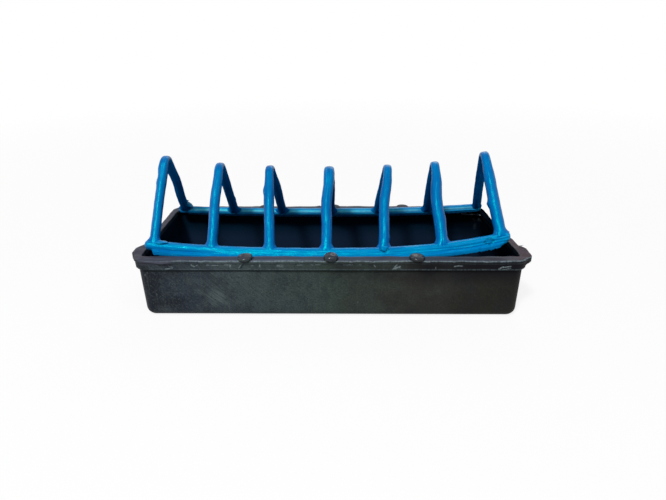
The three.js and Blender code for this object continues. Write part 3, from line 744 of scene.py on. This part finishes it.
def hoop_line(tall):
    """Flat line of (s, h): a straight leg, an arc at the top that both legs touch, and the other leg."""
    centre = tall - APEX_RADIUS
    leg_angle = math.atan2(centre, RAIL_Y) + math.asin(APEX_RADIUS / math.hypot(centre, RAIL_Y))
    tangent_s, tangent_h = APEX_RADIUS * math.sin(leg_angle), centre + APEX_RADIUS * math.cos(leg_angle)
    leg_length = math.hypot(RAIL_Y - tangent_s, tangent_h)
    along = np.linspace(FOOT_LENGTH, leg_length, LEG_ROWS) / leg_length
    leg_s = between(RAIL_Y, tangent_s, along)
    leg_h = tangent_h * along
    turn = np.linspace(math.pi / 2 - leg_angle, math.pi / 2 + leg_angle, ARC_ROWS)[1:-1]
    s = np.concatenate([leg_s, APEX_RADIUS * np.cos(turn), -leg_s[::-1]])
    h = np.concatenate([leg_h, centre + APEX_RADIUS * np.sin(turn), leg_h[::-1]])
    return -s, h


# %% The foot of a leg
def unit(vectors):
    """Each vector divided by its own length."""
    return vectors / np.linalg.norm(vectors, axis=-1, keepdims=True)


def spokes(angle, side_way, under_way):
    """cos(angle) times one way plus sin(angle) times the other."""
    return np.cos(angle)[:, None] * side_way + np.sin(angle)[:, None] * under_way


def foot_rings(foot, way, ring, angle, rail_way, rail_radius, most_flare, most_squeeze):
    """Rings from the rail up the leg. Ring 0 is where |s * way + r * out|, without its part along the rail,
    equals the rail's radius less a little, so that its points lie just under the rail's surface."""

    def out_at(share):
        flare, squeeze = most_flare * share, most_squeeze * share
        return ring * (1 + flare * np.cos(angle) ** 2 - squeeze * np.sin(angle) ** 2)[:, None]

    widest = out_at(1)
    way_flat = way - (way @ rail_way) * rail_way
    out_flat = widest - (widest @ rail_way)[:, None] * rail_way
    a = way_flat @ way_flat
    b = out_flat @ way_flat
    c = (out_flat ** 2).sum(axis=1) - (rail_radius - FOOT_SUNK) ** 2
    start = ((-b + np.sqrt(np.maximum(b * b - a * c, 0))) / a)[:, None]
    shares = np.arange(FOOT_ROWS) / FOOT_ROWS
    return np.stack([foot + between(start, FOOT_LENGTH, share) * way + out_at((1 - share) ** FLARE_POWER)
                     for share in shares])


# %% [markdown]
# The hoops carry small faults of the moulding: nibs on the left of the first, the third and the last, and a
# few flatter ones elsewhere. They are bells again, set by the height and by the side of the bar that they
# stand on. The tops are a little square, because the mould halves met there.

# %% The hoops
# hoop, height above the floor in mm, leg (-1 front, 1 rear), side (-1 left, 1 right), half length, size
NIBS = [(1, 106, -1, -1, 3.2, 0.9), (1, 97, -1, -1, 2.0, 0.5), (3, 90, -1, -1, 2.6, 0.9),
        (7, 84, -1, -1, 1.8, 1.3), (5, 60, -1, 1, 1.5, 0.6), (2, 66, 1, 1, 2.0, 0.5),
        (6, 72, -1, 1, 2.4, 0.4), (4, 88, 1, 1, 2.0, 0.4)]
BAR_SPACING = 400


def hoop_piece(index):
    """Rows are foot rings, rings square to the line, and foot rings again. Columns start at the right."""
    x, front, rear, rise, tall = hoop_frame(index)
    s, h = hoop_line(tall)
    across = (rear - front) / (2 * RAIL_Y)
    line = (front + rear) / 2 + s[:, None] * across + (h / tall)[:, None] * rise
    up_the_leg = np.clip((h - BEND_FROM_HEIGHT) / (tall - BEND_SHORTER), 0, 1) ** BEND_POWER
    line[:, 0] += np.where(s < 0, FRONT_BENDS[index], REAR_BENDS[index]) * np.sin(math.pi * up_the_leg) ** 2
    mean_shift = (FRONT_FOOT_SHIFTS[index] + REAR_FOOT_SHIFTS[index]) / 2
    line[:, 0] -= mean_shift * smooth_step(h, 0.3 * tall, tall)

    side_way = unit(np.cross(across, rise))
    under_way = np.cross(unit(np.gradient(line, axis=0)), side_way)
    angle = full_turn(HOOP_COLUMNS)
    near_top = smooth_step(h, tall - TOP_FROM, tall - TOP_FULL)[:, None]
    power = 2 + TOP_SQUARENESS * near_top
    leg_share = FRONT_LEG_SHARES[index]
    thick = between(np.where(s < 0, leg_share, 1)[:, None], TOP_SHARES[index], near_top)
    corner = (np.abs(np.cos(angle)) ** power + np.abs(np.sin(angle)) ** power) ** (1 / power)
    reach = HOOP_RADIUS * thick / corner
    body = line[:, None] + reach[..., None] * spokes(angle, side_way, under_way[:, None])

    feet = []
    for side, foot, end, share, flare, squeeze in (
            (-1, front, line[0], leg_share, FRONT_FLARE, FRONT_SQUEEZE),
            (1, rear, line[-1], 1, REAR_FLARES[index], REAR_SQUEEZE)):
        way = unit(end - foot)
        ring = HOOP_RADIUS * share * spokes(angle, side_way, np.cross(-side * way, side_way))
        rail_way = unit(np.array([1, 0, rail_z(side, x + 0.5) - rail_z(side, x - 0.5)]))
        feet.append(foot_rings(foot, way, ring, angle, rail_way, RAIL_RADIUS * BAR_SHARES[side], flare,
                               1 - (1 - squeeze) / share))
    grid = np.concatenate([feet[0], body, feet[1][::-1]])

    centre = grid.mean(axis=1)
    way_along = np.concatenate([[0], np.cumsum(np.linalg.norm(np.diff(centre, axis=0), axis=1))])[:, None]
    swell = waves(way_along, 51 + index, (37, 17, 8.3), 0.13)
    for number, nib_z, leg, hand, half_length, size in NIBS:
        if number == index + 1:
            along = hill(centre[:, 2], nib_z, half_length) * (np.sign(centre[:, 1]) == leg)
            swell = swell + size * along[:, None] * hill(np.cos(angle), hand, 0.35)
    grid = grid + unit(grid - centre[:, None]) * np.broadcast_to(swell, grid.shape[:2])[..., None]
    straight = grid_of(way_along + BAR_SPACING * index, *HOOP_RADIUS * on_circle(angle).T)
    matt = smooth_step(np.sin(angle), -0.85, -0.2)
    return closed_piece(f"hoop_bar_{index + 1}", grid, straight, {"matt": matt})


hoops = [hoop_piece(index) for index in range(7)]

# %% [markdown]
# ## Flash
# Flash is the thin plastic that is pressed out between the halves of a mould. This grid has some: a flat
# web beside the left foot of the first hoop, a torn sliver at its rear foot, a lump on the rear rail, and a
# small point under the fifth hoop. Each is a short blade: an oval section that shrinks to a tip along a
# line.

# %% Blades of flash
def blade(name, start, end, width_way, half_width, half_thickness, tip_share, paleness=0):
    """An oval section from start to end that narrows evenly to tip_share of itself, rounded at both ends."""
    start, end, width_way = (np.array(value, dtype=float) for value in (start, end, width_way))
    way = unit(end - start)
    width_way = unit(width_way - (width_way @ way) * way)
    thin_way = np.cross(way, width_way)
    share = np.linspace(0, 1, 14)[:, None, None]
    grow = between(1, tip_share, share) * np.sqrt(1 - (2 * np.clip(share, 0.02, 0.98) - 1) ** 6)
    angle = full_turn(20)
    ragged = 1 + 0.12 * np.sin(3 * angle[:, None] + 9 * share)
    ring = spokes(angle, half_width * width_way, half_thickness * thin_way)
    grid = between(start, end, share) + grow * ragged * ring
    straight = grid - (0, start[1], start[2])
    return closed_piece(name, grid, straight, {"scratched_and_glint": paleness})


first_front, first_rear = hoop_frame(0)[1:3]
fifth_front = hoop_frame(4)[1]
# name, foot of a hoop, start and end from there, way of the width, half width, half thickness, tip share
FLASH = [("web_first_hoop", first_front, (2.6, -1.2, 3.6), (11.6, -1.6, 3.4), (0, 1, 0.1), 3.1, 0.8, 0.35),
         ("sliver_first_hoop", first_rear, (1, -9.6, 11.6), (6.4, -8.2, 11.6), (0, 1, 0.8), 1.9, 0.6, 0.1),
         ("web_first_hoop_rear", first_rear, (1, -9.6, 12.4), (7.6, -1.4, 2.6), (0, 1, 1), 3.2, 1.2, 0.5),
         ("lump_rear_rail", first_rear, (25, 0.5, 3.2), (30.5, 0.3, 2.9), (0, 1, 0), 1.8, 1.4, 0.8),
         ("tongue_fifth_hoop", fifth_front, (0, -1.6, 5.6), (-0.2, -3.7, 2.3), (1, 0, 0), 3.4, 0.9, 0.4)]
flash = [blade("flash_" + name, foot + start, foot + end, *shape) for name, foot, start, end, *shape in FLASH]

# %% Burrs on the right of the rim
# start and end, way of the width, half width, half thickness, tip share, paleness
BURRS = [((147.6, -36.5, 50.3), (151.4, -34.2, 51), (0, 1, 0.3), 0.35, 0.2, 0.2, 1),
         ((148.6, -33.5, 50.3), (152.4, -33.2, 50.8), (0, 1, 0.3), 0.3, 0.2, 0.2, 1),
         ((149.6, -41, 50.2), (152.4, -40, 50.9), (0, 1, 0.3), 0.6, 0.35, 0.4, 0.3)]
burrs = [blade(f"rim_burr_{number}", *shape) for number, shape in enumerate(BURRS, 1)]

# %% [markdown]
# Inside the mouth, along the top of the rear wall and round its right corner, runs a thin raised seam. It
# is the one bright line in that dark corner: its rounded top faces the light, and it is also painted pale, as
# a painted highlight. It is a round bar that follows a path.

# %% The seam in the rear corner
SEAM_PATH = [(120.5, 56.1, 44.3), (124, 55.9, 44), (128, 55.8, 43.8), (131, 55.5, 43.8), (133.4, 54.6, 44.1),
             (134.9, 53, 44.7), (135.6, 50.6, 45.4), (135.9, 47, 46.4), (136, 43, 47.4)]
SEAM_RADIUS = 1.1


def seam_piece(name, path, radius):
    """Rings square to the path. Their radius goes by sqrt(1 - (2 share - 1)^4), with a few swellings."""
    path = np.array(path, dtype=float)
    station = np.linspace(0, len(path) - 1, 60)
    line = np.stack([np.interp(station, np.arange(len(path)), places) for places in path.T], axis=1)
    way = unit(np.gradient(line, axis=0))
    side_way = unit(np.cross(way, (0, 0, 1.0)))
    up_way = np.cross(side_way, way)
    share = np.clip(np.linspace(0, 1, 60), 0.01, 0.99)[:, None, None]
    grow = radius * np.sqrt(1 - (2 * share - 1) ** 4) * (0.8 + 0.2 * np.sin(21 * share))
    grid = line[:, None] + grow * spokes(full_turn(14), side_way[:, None], up_way[:, None])
    # The seam is painted pale as well: a painted highlight.
    return closed_piece(name, grid, marks={"scratched_and_glint": 0.9})


seam = seam_piece("rear_corner_seam", SEAM_PATH, SEAM_RADIUS)

# %% [markdown]
# ## Materials
# The grid is a bright blue plastic with a soft gloss. Close up it isn't one colour: the plastic flowed
# along the bars as the mould filled, and left streaks that are long and thin. The streaks read the
# straightened place of each point, so they bend with the bar. What comes out of a node can be multiplied,
# added and remapped here like a number, and each such step adds one more node.

# %% Values that come out of nodes
def plug(tree, node, inputs):
    """Sets or links a node's inputs: numbers, colours of three numbers, or values of other nodes."""
    for key, value in inputs.items():
        socket = node.inputs[key]
        if isinstance(value, Value):
            tree.links.new(value.socket, socket)
        else:
            socket.default_value = (*value, 1) if socket.type == "RGBA" else value


def add(tree, kind, inputs=None, **settings):
    """Adds a node. Settings are the node's own properties."""
    made = tree.nodes.new(kind)
    for key, value in settings.items():
        setattr(made, key, value)
    plug(tree, made, inputs or {})
    return made


def read(tree, kind, output, inputs=None, **settings):
    """Adds a node, and gives the value that comes out of one of its outputs."""
    return Value(tree, add(tree, kind, inputs, **settings).outputs[output])


class Value:
    """What comes out of a node. Each method adds a node to the same tree and gives what that one makes."""

    def __init__(self, tree, socket):
        self.tree = tree
        self.socket = socket

    def math(self, operation, other):
        return read(self.tree, "ShaderNodeMath", 0, {0: self, 1: other}, operation=operation)

    def __mul__(self, other):
        return self.math("MULTIPLY", other)

    def __add__(self, other):
        return self.math("ADD", other)

    def __sub__(self, other):
        return self.math("SUBTRACT", other)

    def at_least(self, other):
        return self.math("MAXIMUM", other)

    def part(self, axis):
        return read(self.tree, "ShaderNodeSeparateXYZ", axis, {"Vector": self})

    def remap(self, low, high, to_low=0.0, to_high=1.0):
        """Low to high becomes to_low to to_high, and values outside are held at the ends."""
        inputs = {"Value": self, "From Min": low, "From Max": high, "To Min": to_low, "To Max": to_high}
        return read(self.tree, "ShaderNodeMapRange", 0, inputs)


# %% Marks, noise, colours and bumps
def new_material(name):
    """A material with an empty tree but for the shader and the output."""
    material = bpy.data.materials.new(name)
    material.use_nodes = True
    tree = material.node_tree
    return material, tree, tree.nodes["Principled BSDF"]


def marks_of(tree, *names):
    """The marks that the mesh carries, by name."""
    return [read(tree, "ShaderNodeAttribute", "Fac", attribute_name=name) for name in names]


def noise(place, scale, detail, roughness, rotation=(0, 0, 0)):
    """Noise with a scale of its own along each axis, after the place has been turned by the rotation."""
    turned = read(place.tree, "ShaderNodeMapping", 0, {"Vector": place, "Rotation": rotation})
    stretched = read(place.tree, "ShaderNodeMapping", 0, {"Vector": turned, "Scale": scale})
    inputs = {"Vector": stretched, "Scale": 1.0, "Detail": detail, "Roughness": roughness}
    return read(place.tree, "ShaderNodeTexNoise", "Fac", inputs)


def coats(colour, *layers):
    """Colours laid over one another. Each layer is how much it covers, from 0 to 1, and its colour."""
    for cover, paint in layers:
        inputs = {"Factor": cover, 6: colour, 7: paint}
        colour = read(cover.tree, "ShaderNodeMix", 2, inputs, data_type="RGBA")
    return colour


def ramp(value, *stops):
    """Colours at given places of a value, with straight blends between them."""
    made = add(value.tree, "ShaderNodeValToRGB", {"Fac": value})
    elements = made.color_ramp.elements
    for element, (position, colour) in zip((elements[0], elements[1]), (stops[0], stops[-1])):
        element.position, element.color = position, (*colour, 1)
    for position, colour in stops[1:-1]:
        elements.new(position).color = (*colour, 1)
    return Value(value.tree, made.outputs["Color"])


def bumps(*layers):
    """Bumps over one another. Each is a height, a strength, and its depth in metres."""
    below = {}
    for height, strength, depth in layers:
        inputs = {"Height": height, "Strength": strength, "Distance": depth, **below}
        below = {"Normal": read(height.tree, "ShaderNodeBump", 0, inputs)}
    return below["Normal"]


# %% Blue plastic of the grid
# The pale blue is for flecks of wear and for the painted highlight line; the crease blue is painted shade.
BLUE_WORN_AND_HIGHLIGHT, BLUE_CREASE_SHADE, BLUE_GLOSS = (0.1, 0.42, 0.6), (0.0, 0.03, 0.12), (0.0, 0.75, 0.6)


def blue_plastic(name, deep, middle, bright):
    """Streaks of deep and bright blue along the bar, grain, pale flecks, painted highlight, painted shade in
    dents.
    """
    material, tree, shader = new_material(name)
    place = read(tree, "ShaderNodeTexCoord", "Object")
    straightened = read(tree, "ShaderNodeAttribute", "Vector", attribute_name="straightened")
    pressed_and_shaded, painted_highlight, matt = marks_of(tree, "pressed_and_shaded", "painted_highlight", "matt")
    streaks = noise(straightened, (28, 420, 420), 4, 0.6)
    fine_streaks = noise(straightened, (70, 1500, 1500), 3, 0.6)
    cloud = noise(place, (26, 26, 26), 2, 0.5)
    grain = noise(place, (1500, 1500, 1500), 2, 0.6)
    flecks = fine_streaks.remap(0.62, 0.72) * grain.remap(0.52, 0.62)
    colour = coats(
        deep,
        (streaks.remap(0.38, 0.6), middle),
        (fine_streaks.remap(0.5, 0.7) * 0.7, bright),
        (cloud.remap(0.45, 0.7) * 0.4, bright),
        (flecks.at_least(painted_highlight * grain.remap(0.4, 0.6, 0.7, 1)), BLUE_WORN_AND_HIGHLIGHT),
        (pressed_and_shaded * 0.75, BLUE_CREASE_SHADE))
    plug(tree, shader, {
        "Base Color": colour,
        "Roughness": streaks.remap(0.3, 0.7, 0.3, 0.17),
        "Normal": bumps((fine_streaks, 0.4, 0.0005), (grain, 0.25, 0.0001)),
        "Specular IOR Level": matt.remap(0, 1, 0.4, 0),
        "Specular Tint": BLUE_GLOSS})
    return material


# The rails get a lighter copy of the same blue: partly wear, partly a painted highlight.
hoop_plastic = blue_plastic("blue_hoop_plastic", (0.0, 0.088, 0.33), (0.0, 0.128, 0.42), (0.0, 0.19, 0.51))
rail_plastic = blue_plastic("blue_rail_plastic", (0.0, 0.135, 0.4), (0.0, 0.195, 0.5), (0.0, 0.29, 0.58))

# %% [markdown]
# The trough is a dull dark plastic. Its front changes from a cold grey on the left over green in the middle
# to nearly black on the right, a change of tone that is also painted light falling off to the right, with a
# pale haze of fine slanted scratches on the left, and one swathe of them that stands out. The top of the rim
# is lighter and a little purple, and the inside is nearly black. Painted shade lies high inside, at the
# inside's right end, under the skirt, on the rim top at the rear right and in notches, and painted highlights
# lie along edges and in the rear corner. All of this is mixed from the place along the trough, from stretched
# noise, and from the marks that the mesh carries. The colours go on like coats of paint, each over the ones
# before it.

# %% Colours of the trough
HAZE, STREAK, SPARK = (0.12, 0.16, 0.165), (0.085, 0.1, 0.085), (0.1, 0.125, 0.12)
SCRATCH, BLOTCH, SPECK = (0.075, 0.088, 0.08), (0.012, 0.014, 0.02), (0.012, 0.016, 0.02)
# Painted shade: the front wall just under the skirt, darker towards the right.
PAINTED_SHADE_UNDER_RIM = (0.004, 0.004, 0.007)
TOP_DARK, TOP_PALE = (0.036, 0.033, 0.048), (0.085, 0.1, 0.13)
# The inside is painted lighter low down and darker high under the rim and at its right end: painted light and
# shade.
PAINTED_LIGHT_LOW_INSIDE, PAINTED_SHADE_RIGHT_END = (0.0095, 0.022, 0.048), (0.001, 0.002, 0.004)
# The first is for edge wear and painted highlights, the second for pale scratches and painted highlights.
WORN_AND_HIGHLIT_EDGE, PALE_SCRATCH_AND_GLINT = (0.19, 0.255, 0.29), (0.26, 0.33, 0.36)
HATCH_TURN = math.radians(-42)


# %% Grey plastic of the trough
def worn_grey(name, walls, tops, inside_colour, specular, rough_low, rough_high):
    """Dark plastic: speckles, slanted scratches, a lighter top, pale marks, painted shade and highlights as
    the mesh says.
    """
    material, tree, shader = new_material(name)
    place = read(tree, "ShaderNodeTexCoord", "Object")
    z = place.part("Z")
    upness = read(tree, "ShaderNodeNewGeometry", "Normal").part("Z")
    inside, scratched_and_glint, rubbed_and_highlit, smeared = marks_of(tree, "inside", "scratched_and_glint", "rubbed_and_highlit", "smeared")
    cloud = noise(place, (24, 24, 34), 4, 0.6)
    blotch = noise(place, (70, 70, 45), 3, 0.6)
    speckle = noise(place, (950, 950, 950), 3, 0.75)
    hatch = noise(place, (90, 90, 900), 4, 0.7, (0, HATCH_TURN, 0))
    upright = noise(place, (700, 300, 28), 3, 0.65)
    lengthwise = noise(place, (14, 300, 700), 3, 0.6)

    along = place.part("X") + cloud.remap(0.3, 0.7, -1, 1) * 0.03
    share = along.remap(-0.15, 0.15)
    slant = along - z
    swathe = slant.remap(-0.13, -0.114) * slant.remap(-0.084, -0.11)
    swathe = swathe * (z.remap(0.006, 0.014) * z.remap(0.044, 0.016, 0, 0.85))
    haze = cloud.remap(0.4, 0.64) * (along.remap(0.02, -0.09) * 0.6)
    wall_colour = coats(
        ramp(share, *walls),
        (haze.at_least(swathe) * hatch.remap(0.38, 0.62, 0.1, 1), HAZE),
        (upright.remap(0.54, 0.74) * share.remap(0.75, 0.4, 0.03, 0.4), STREAK),
        (blotch.remap(0.5, 0.3) * 0.45, BLOTCH),
        (speckle.remap(0.53, 0.7) * share.remap(0.35, 0.75, 0.6, 0.12), SPARK),
        (hatch.remap(0.5, 0.68) * share.remap(0.4, 0.7, 0.24, 0.05), SCRATCH),
        (speckle.remap(0.46, 0.32) * 0.6, SPECK),
        # Painted shade under the skirt, on the right half of the front wall.
        (z.remap(0.027, 0.04) * share.remap(0.45, 0.9, 0, 0.95), PAINTED_SHADE_UNDER_RIM))
    top_colour = coats(
        ramp(share, *tops),
        (lengthwise.remap(0.42, 0.6) * 0.6, TOP_DARK),
        (lengthwise.remap(0.42, 0.3) * 0.5, TOP_PALE))
    is_top = (upness.remap(0.5, 0.9) * z.remap(0.046, 0.049)).at_least(smeared)
    # Inside: painted lighter below the shade of rim and rails, and painted darker at the right end, as
    # painted light and shade.
    lowness = z.remap(0.033, 0.0205)
    right_end_painted_shade = share.remap(0.74, 0.88, 0, 0.8) * lowness.remap(0, 1, 1, 0.55)
    # Edges: partly wear, partly painted highlights along them.
    edge_wear_and_highlight = rubbed_and_highlit * upright.remap(0.4, 0.6, 0.35, 1)
    # Pale marks: real scratches, and painted highlights in the rear corner.
    pale = scratched_and_glint.remap(0.12, 0.6) * speckle.remap(0.38, 0.52, 0.25, 1)
    colour = coats(
        wall_colour,
        (is_top, top_colour),
        (inside, coats(inside_colour, (lowness, PAINTED_LIGHT_LOW_INSIDE), (right_end_painted_shade, PAINTED_SHADE_RIGHT_END))),
        (edge_wear_and_highlight * share.remap(0.02, 0.12, 0.1, 0.85), WORN_AND_HIGHLIT_EDGE),
        (pale * 0.62, PALE_SCRATCH_AND_GLINT))
    plug(tree, shader, {
        "Base Color": colour,
        "Roughness": cloud.remap(0.3, 0.7, rough_low, rough_high),
        "Normal": bumps((hatch, 0.2, 0.0004), (lengthwise, 0.3, 0.0003), (speckle, 0.35, 0.0002)),
        "Specular IOR Level": inside.remap(0.6, 0.95, specular, 0)})
    return material


# The wall colours darken from left to right: a change of tone, and also painted light falling off to the
# right.
wall_stops = ((0.0, (0.012, 0.015, 0.024)), (0.08, (0.024, 0.034, 0.05)), (0.28, (0.04, 0.055, 0.064)),
              (0.5, (0.038, 0.058, 0.05)), (0.72, (0.034, 0.036, 0.031)), (0.9, (0.021, 0.0205, 0.017)),
              (1.0, (0.016, 0.0155, 0.013)))
top_stops = ((0.0, (0.048, 0.05, 0.07)), (0.35, (0.062, 0.075, 0.108)), (0.7, (0.04, 0.055, 0.078)),
             (0.93, (0.045, 0.045, 0.056)), (1.0, (0.06, 0.04, 0.047)))
trough_inside, stud_inside = (0.002, 0.0125, 0.027), (0.005, 0.008, 0.012)
trough_plastic = worn_grey("dark_trough_plastic", wall_stops, top_stops, trough_inside, 0.07, 0.45, 0.6)
stud_stops = ((0.0, (0.01, 0.019, 0.032)), (1.0, (0.013, 0.022, 0.03)))
stud_plastic = worn_grey("stud_plastic", stud_stops, stud_stops, stud_inside, 0.26, 0.14, 0.26)
rear_stud_plastic = worn_grey("rear_stud_plastic", stud_stops, stud_stops, stud_inside, 0.1, 0.5, 0.6)

# %% [markdown]
# ## Which piece stands for what
# Every new piece rides on the body that it moves with: the trough with its pads and studs stays, and the
# rails, the hoops and their flash lift out together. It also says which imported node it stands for, and
# which finish it has.

# %% Ride, replace and finish
def dress(piece, body, slot, material, *nodes):
    """Gives a piece its material and body, and lets it stand for the named nodes."""
    piece.data.materials.append(material)
    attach(piece, body)
    if nodes:
        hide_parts(*nodes)


dress(trough, "trough", "trough", trough_plastic, "trough")
for pad in pads:
    dress(pad, "trough", "trough", trough_plastic)
for burr in burrs:
    dress(burr, "trough", "trough", trough_plastic)
dress(seam, "trough", "trough", stud_plastic)
for node_name, stud in studs.items():
    dress(stud, "trough", "stud", stud_plastic if "front" in node_name else rear_stud_plastic, node_name)
dress(rails[-1], "grid", "grid", rail_plastic, "front_rail")
dress(rails[1], "grid", "grid", rail_plastic, "rear_rail")
for index, hoop in enumerate(hoops):
    dress(hoop, "grid", "grid", hoop_plastic, f"hoop_{index + 1}")
for blade_piece in flash:
    dress(blade_piece, "grid", "grid", rail_plastic)
print("pieces dressed:", 2 + len(pads) + len(burrs) + len(studs) + len(rails) + len(hoops) + len(flash))

# %% [markdown]
# ## Floor and light
# The feeder stands on a plain white floor in soft studio light. The main light is a large lamp above the
# front, a little to the left, so the bars get one long soft highlight and their undersides stay dark. A
# second lamp beside it and a weak one from the right sharpen and soften the shadows in the mouth, and a
# weak lamp behind the feeder keeps its back from going black. The floor and the world look white to the
# camera and to reflections, and the floor still takes a faint shadow.

# %% Floor
FLOOR_LIT, FLOOR_SEEN, FLOOR_WHITE_SHARE = 0.35, 0.9, 0.85
FLOOR_HALF_SIZE = 6.0
WHITE_FROM, WHITE_TO = 0.3, 1.1


def seen_directly(tree):
    """1 for what the camera sees, straight or in gloss and glass, and 0 for light that is thrown."""
    path = add(tree, "ShaderNodeLightPath")
    camera_ray, glossy_ray, through_ray = (
        Value(tree, path.outputs[f"Is {kind} Ray"]) for kind in ("Camera", "Glossy", "Transmission"))
    return camera_ray.at_least(glossy_ray).at_least(through_ray)


floor_mesh = bpy.data.meshes.new("studio_floor")
floor_signs = ((-1, -1, 0), (1, -1, 0), (1, 1, 0), (-1, 1, 0))
floor_corners = [Vector(signs) * FLOOR_HALF_SIZE for signs in floor_signs]
floor_mesh.from_pydata(floor_corners, [], [(0, 1, 2, 3)])
floor = new_object("studio_floor", floor_mesh)
floor_material, tree, shader = new_material("white_floor")
tree.nodes.remove(shader)
seen = seen_directly(tree)
paint = coats((FLOOR_LIT,) * 3, (seen, (FLOOR_SEEN,) * 3))
diffuse = read(tree, "ShaderNodeBsdfDiffuse", 0, {"Color": paint})
white = read(tree, "ShaderNodeEmission", 0, {"Color": (1, 1, 1), "Strength": 1.0})
spot = read(tree, "ShaderNodeTexCoord", "Object")
distance = read(tree, "ShaderNodeVectorMath", "Value", {0: spot}, operation="LENGTH")
white_share = seen * distance.remap(WHITE_FROM, WHITE_TO, FLOOR_WHITE_SHARE, 1)
mixed = read(tree, "ShaderNodeMixShader", 0, {0: white_share, 1: diffuse, 2: white})
plug(tree, tree.nodes["Material Output"], {"Surface": mixed})
floor.data.materials.append(floor_material)
floor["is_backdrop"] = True

# %% World
WORLD_LIGHT = 0.17
world = bpy.data.worlds.new("studio_world")
bpy.context.scene.world = world
world.use_nodes = True
tree = world.node_tree
tree.nodes.clear()
strength = seen_directly(tree).remap(0, 1, WORLD_LIGHT, 1.0)
background = read(tree, "ShaderNodeBackground", 0, {"Color": (1, 1, 1), "Strength": strength})
add(tree, "ShaderNodeOutputWorld", {"Surface": background})

# %% Lamps
LAMPS_LOOK_AT = (0, 0, 50)


def lamp(name, place_mm, size, watts):
    """A square lamp that looks at the middle of the feeder."""
    data = bpy.data.lights.new(name, "AREA")
    data.size = size
    data.energy = watts
    made = new_object(name, data)
    made.location = Vector(place_mm) * MM
    made.rotation_euler = (Vector(LAMPS_LOOK_AT) * MM - made.location).to_track_quat("-Z", "Y").to_euler()


lamp("main_lamp", (-606, -1570, 2250), 0.7, 24)
lamp("small_lamp", (-606, -1570, 2090), 0.25, 36)
lamp("right_lamp", (900, -1200, 1900), 1.0, 7)
lamp("rear_lamp", (500, 1700, 1500), 1.0, 6)

bpy.context.scene.view_settings.view_transform = "Standard"

# %% [markdown]
# Last, the finished model's box is measured against the imported one's, and how far it has grown is printed.

# %% Sizes and finish
visual_low, visual_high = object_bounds()
growth = (*(cad_low - visual_low), *(visual_high - cad_high))
print("grown by, in mm:", [round(float(v) / MM, 2) for v in growth])
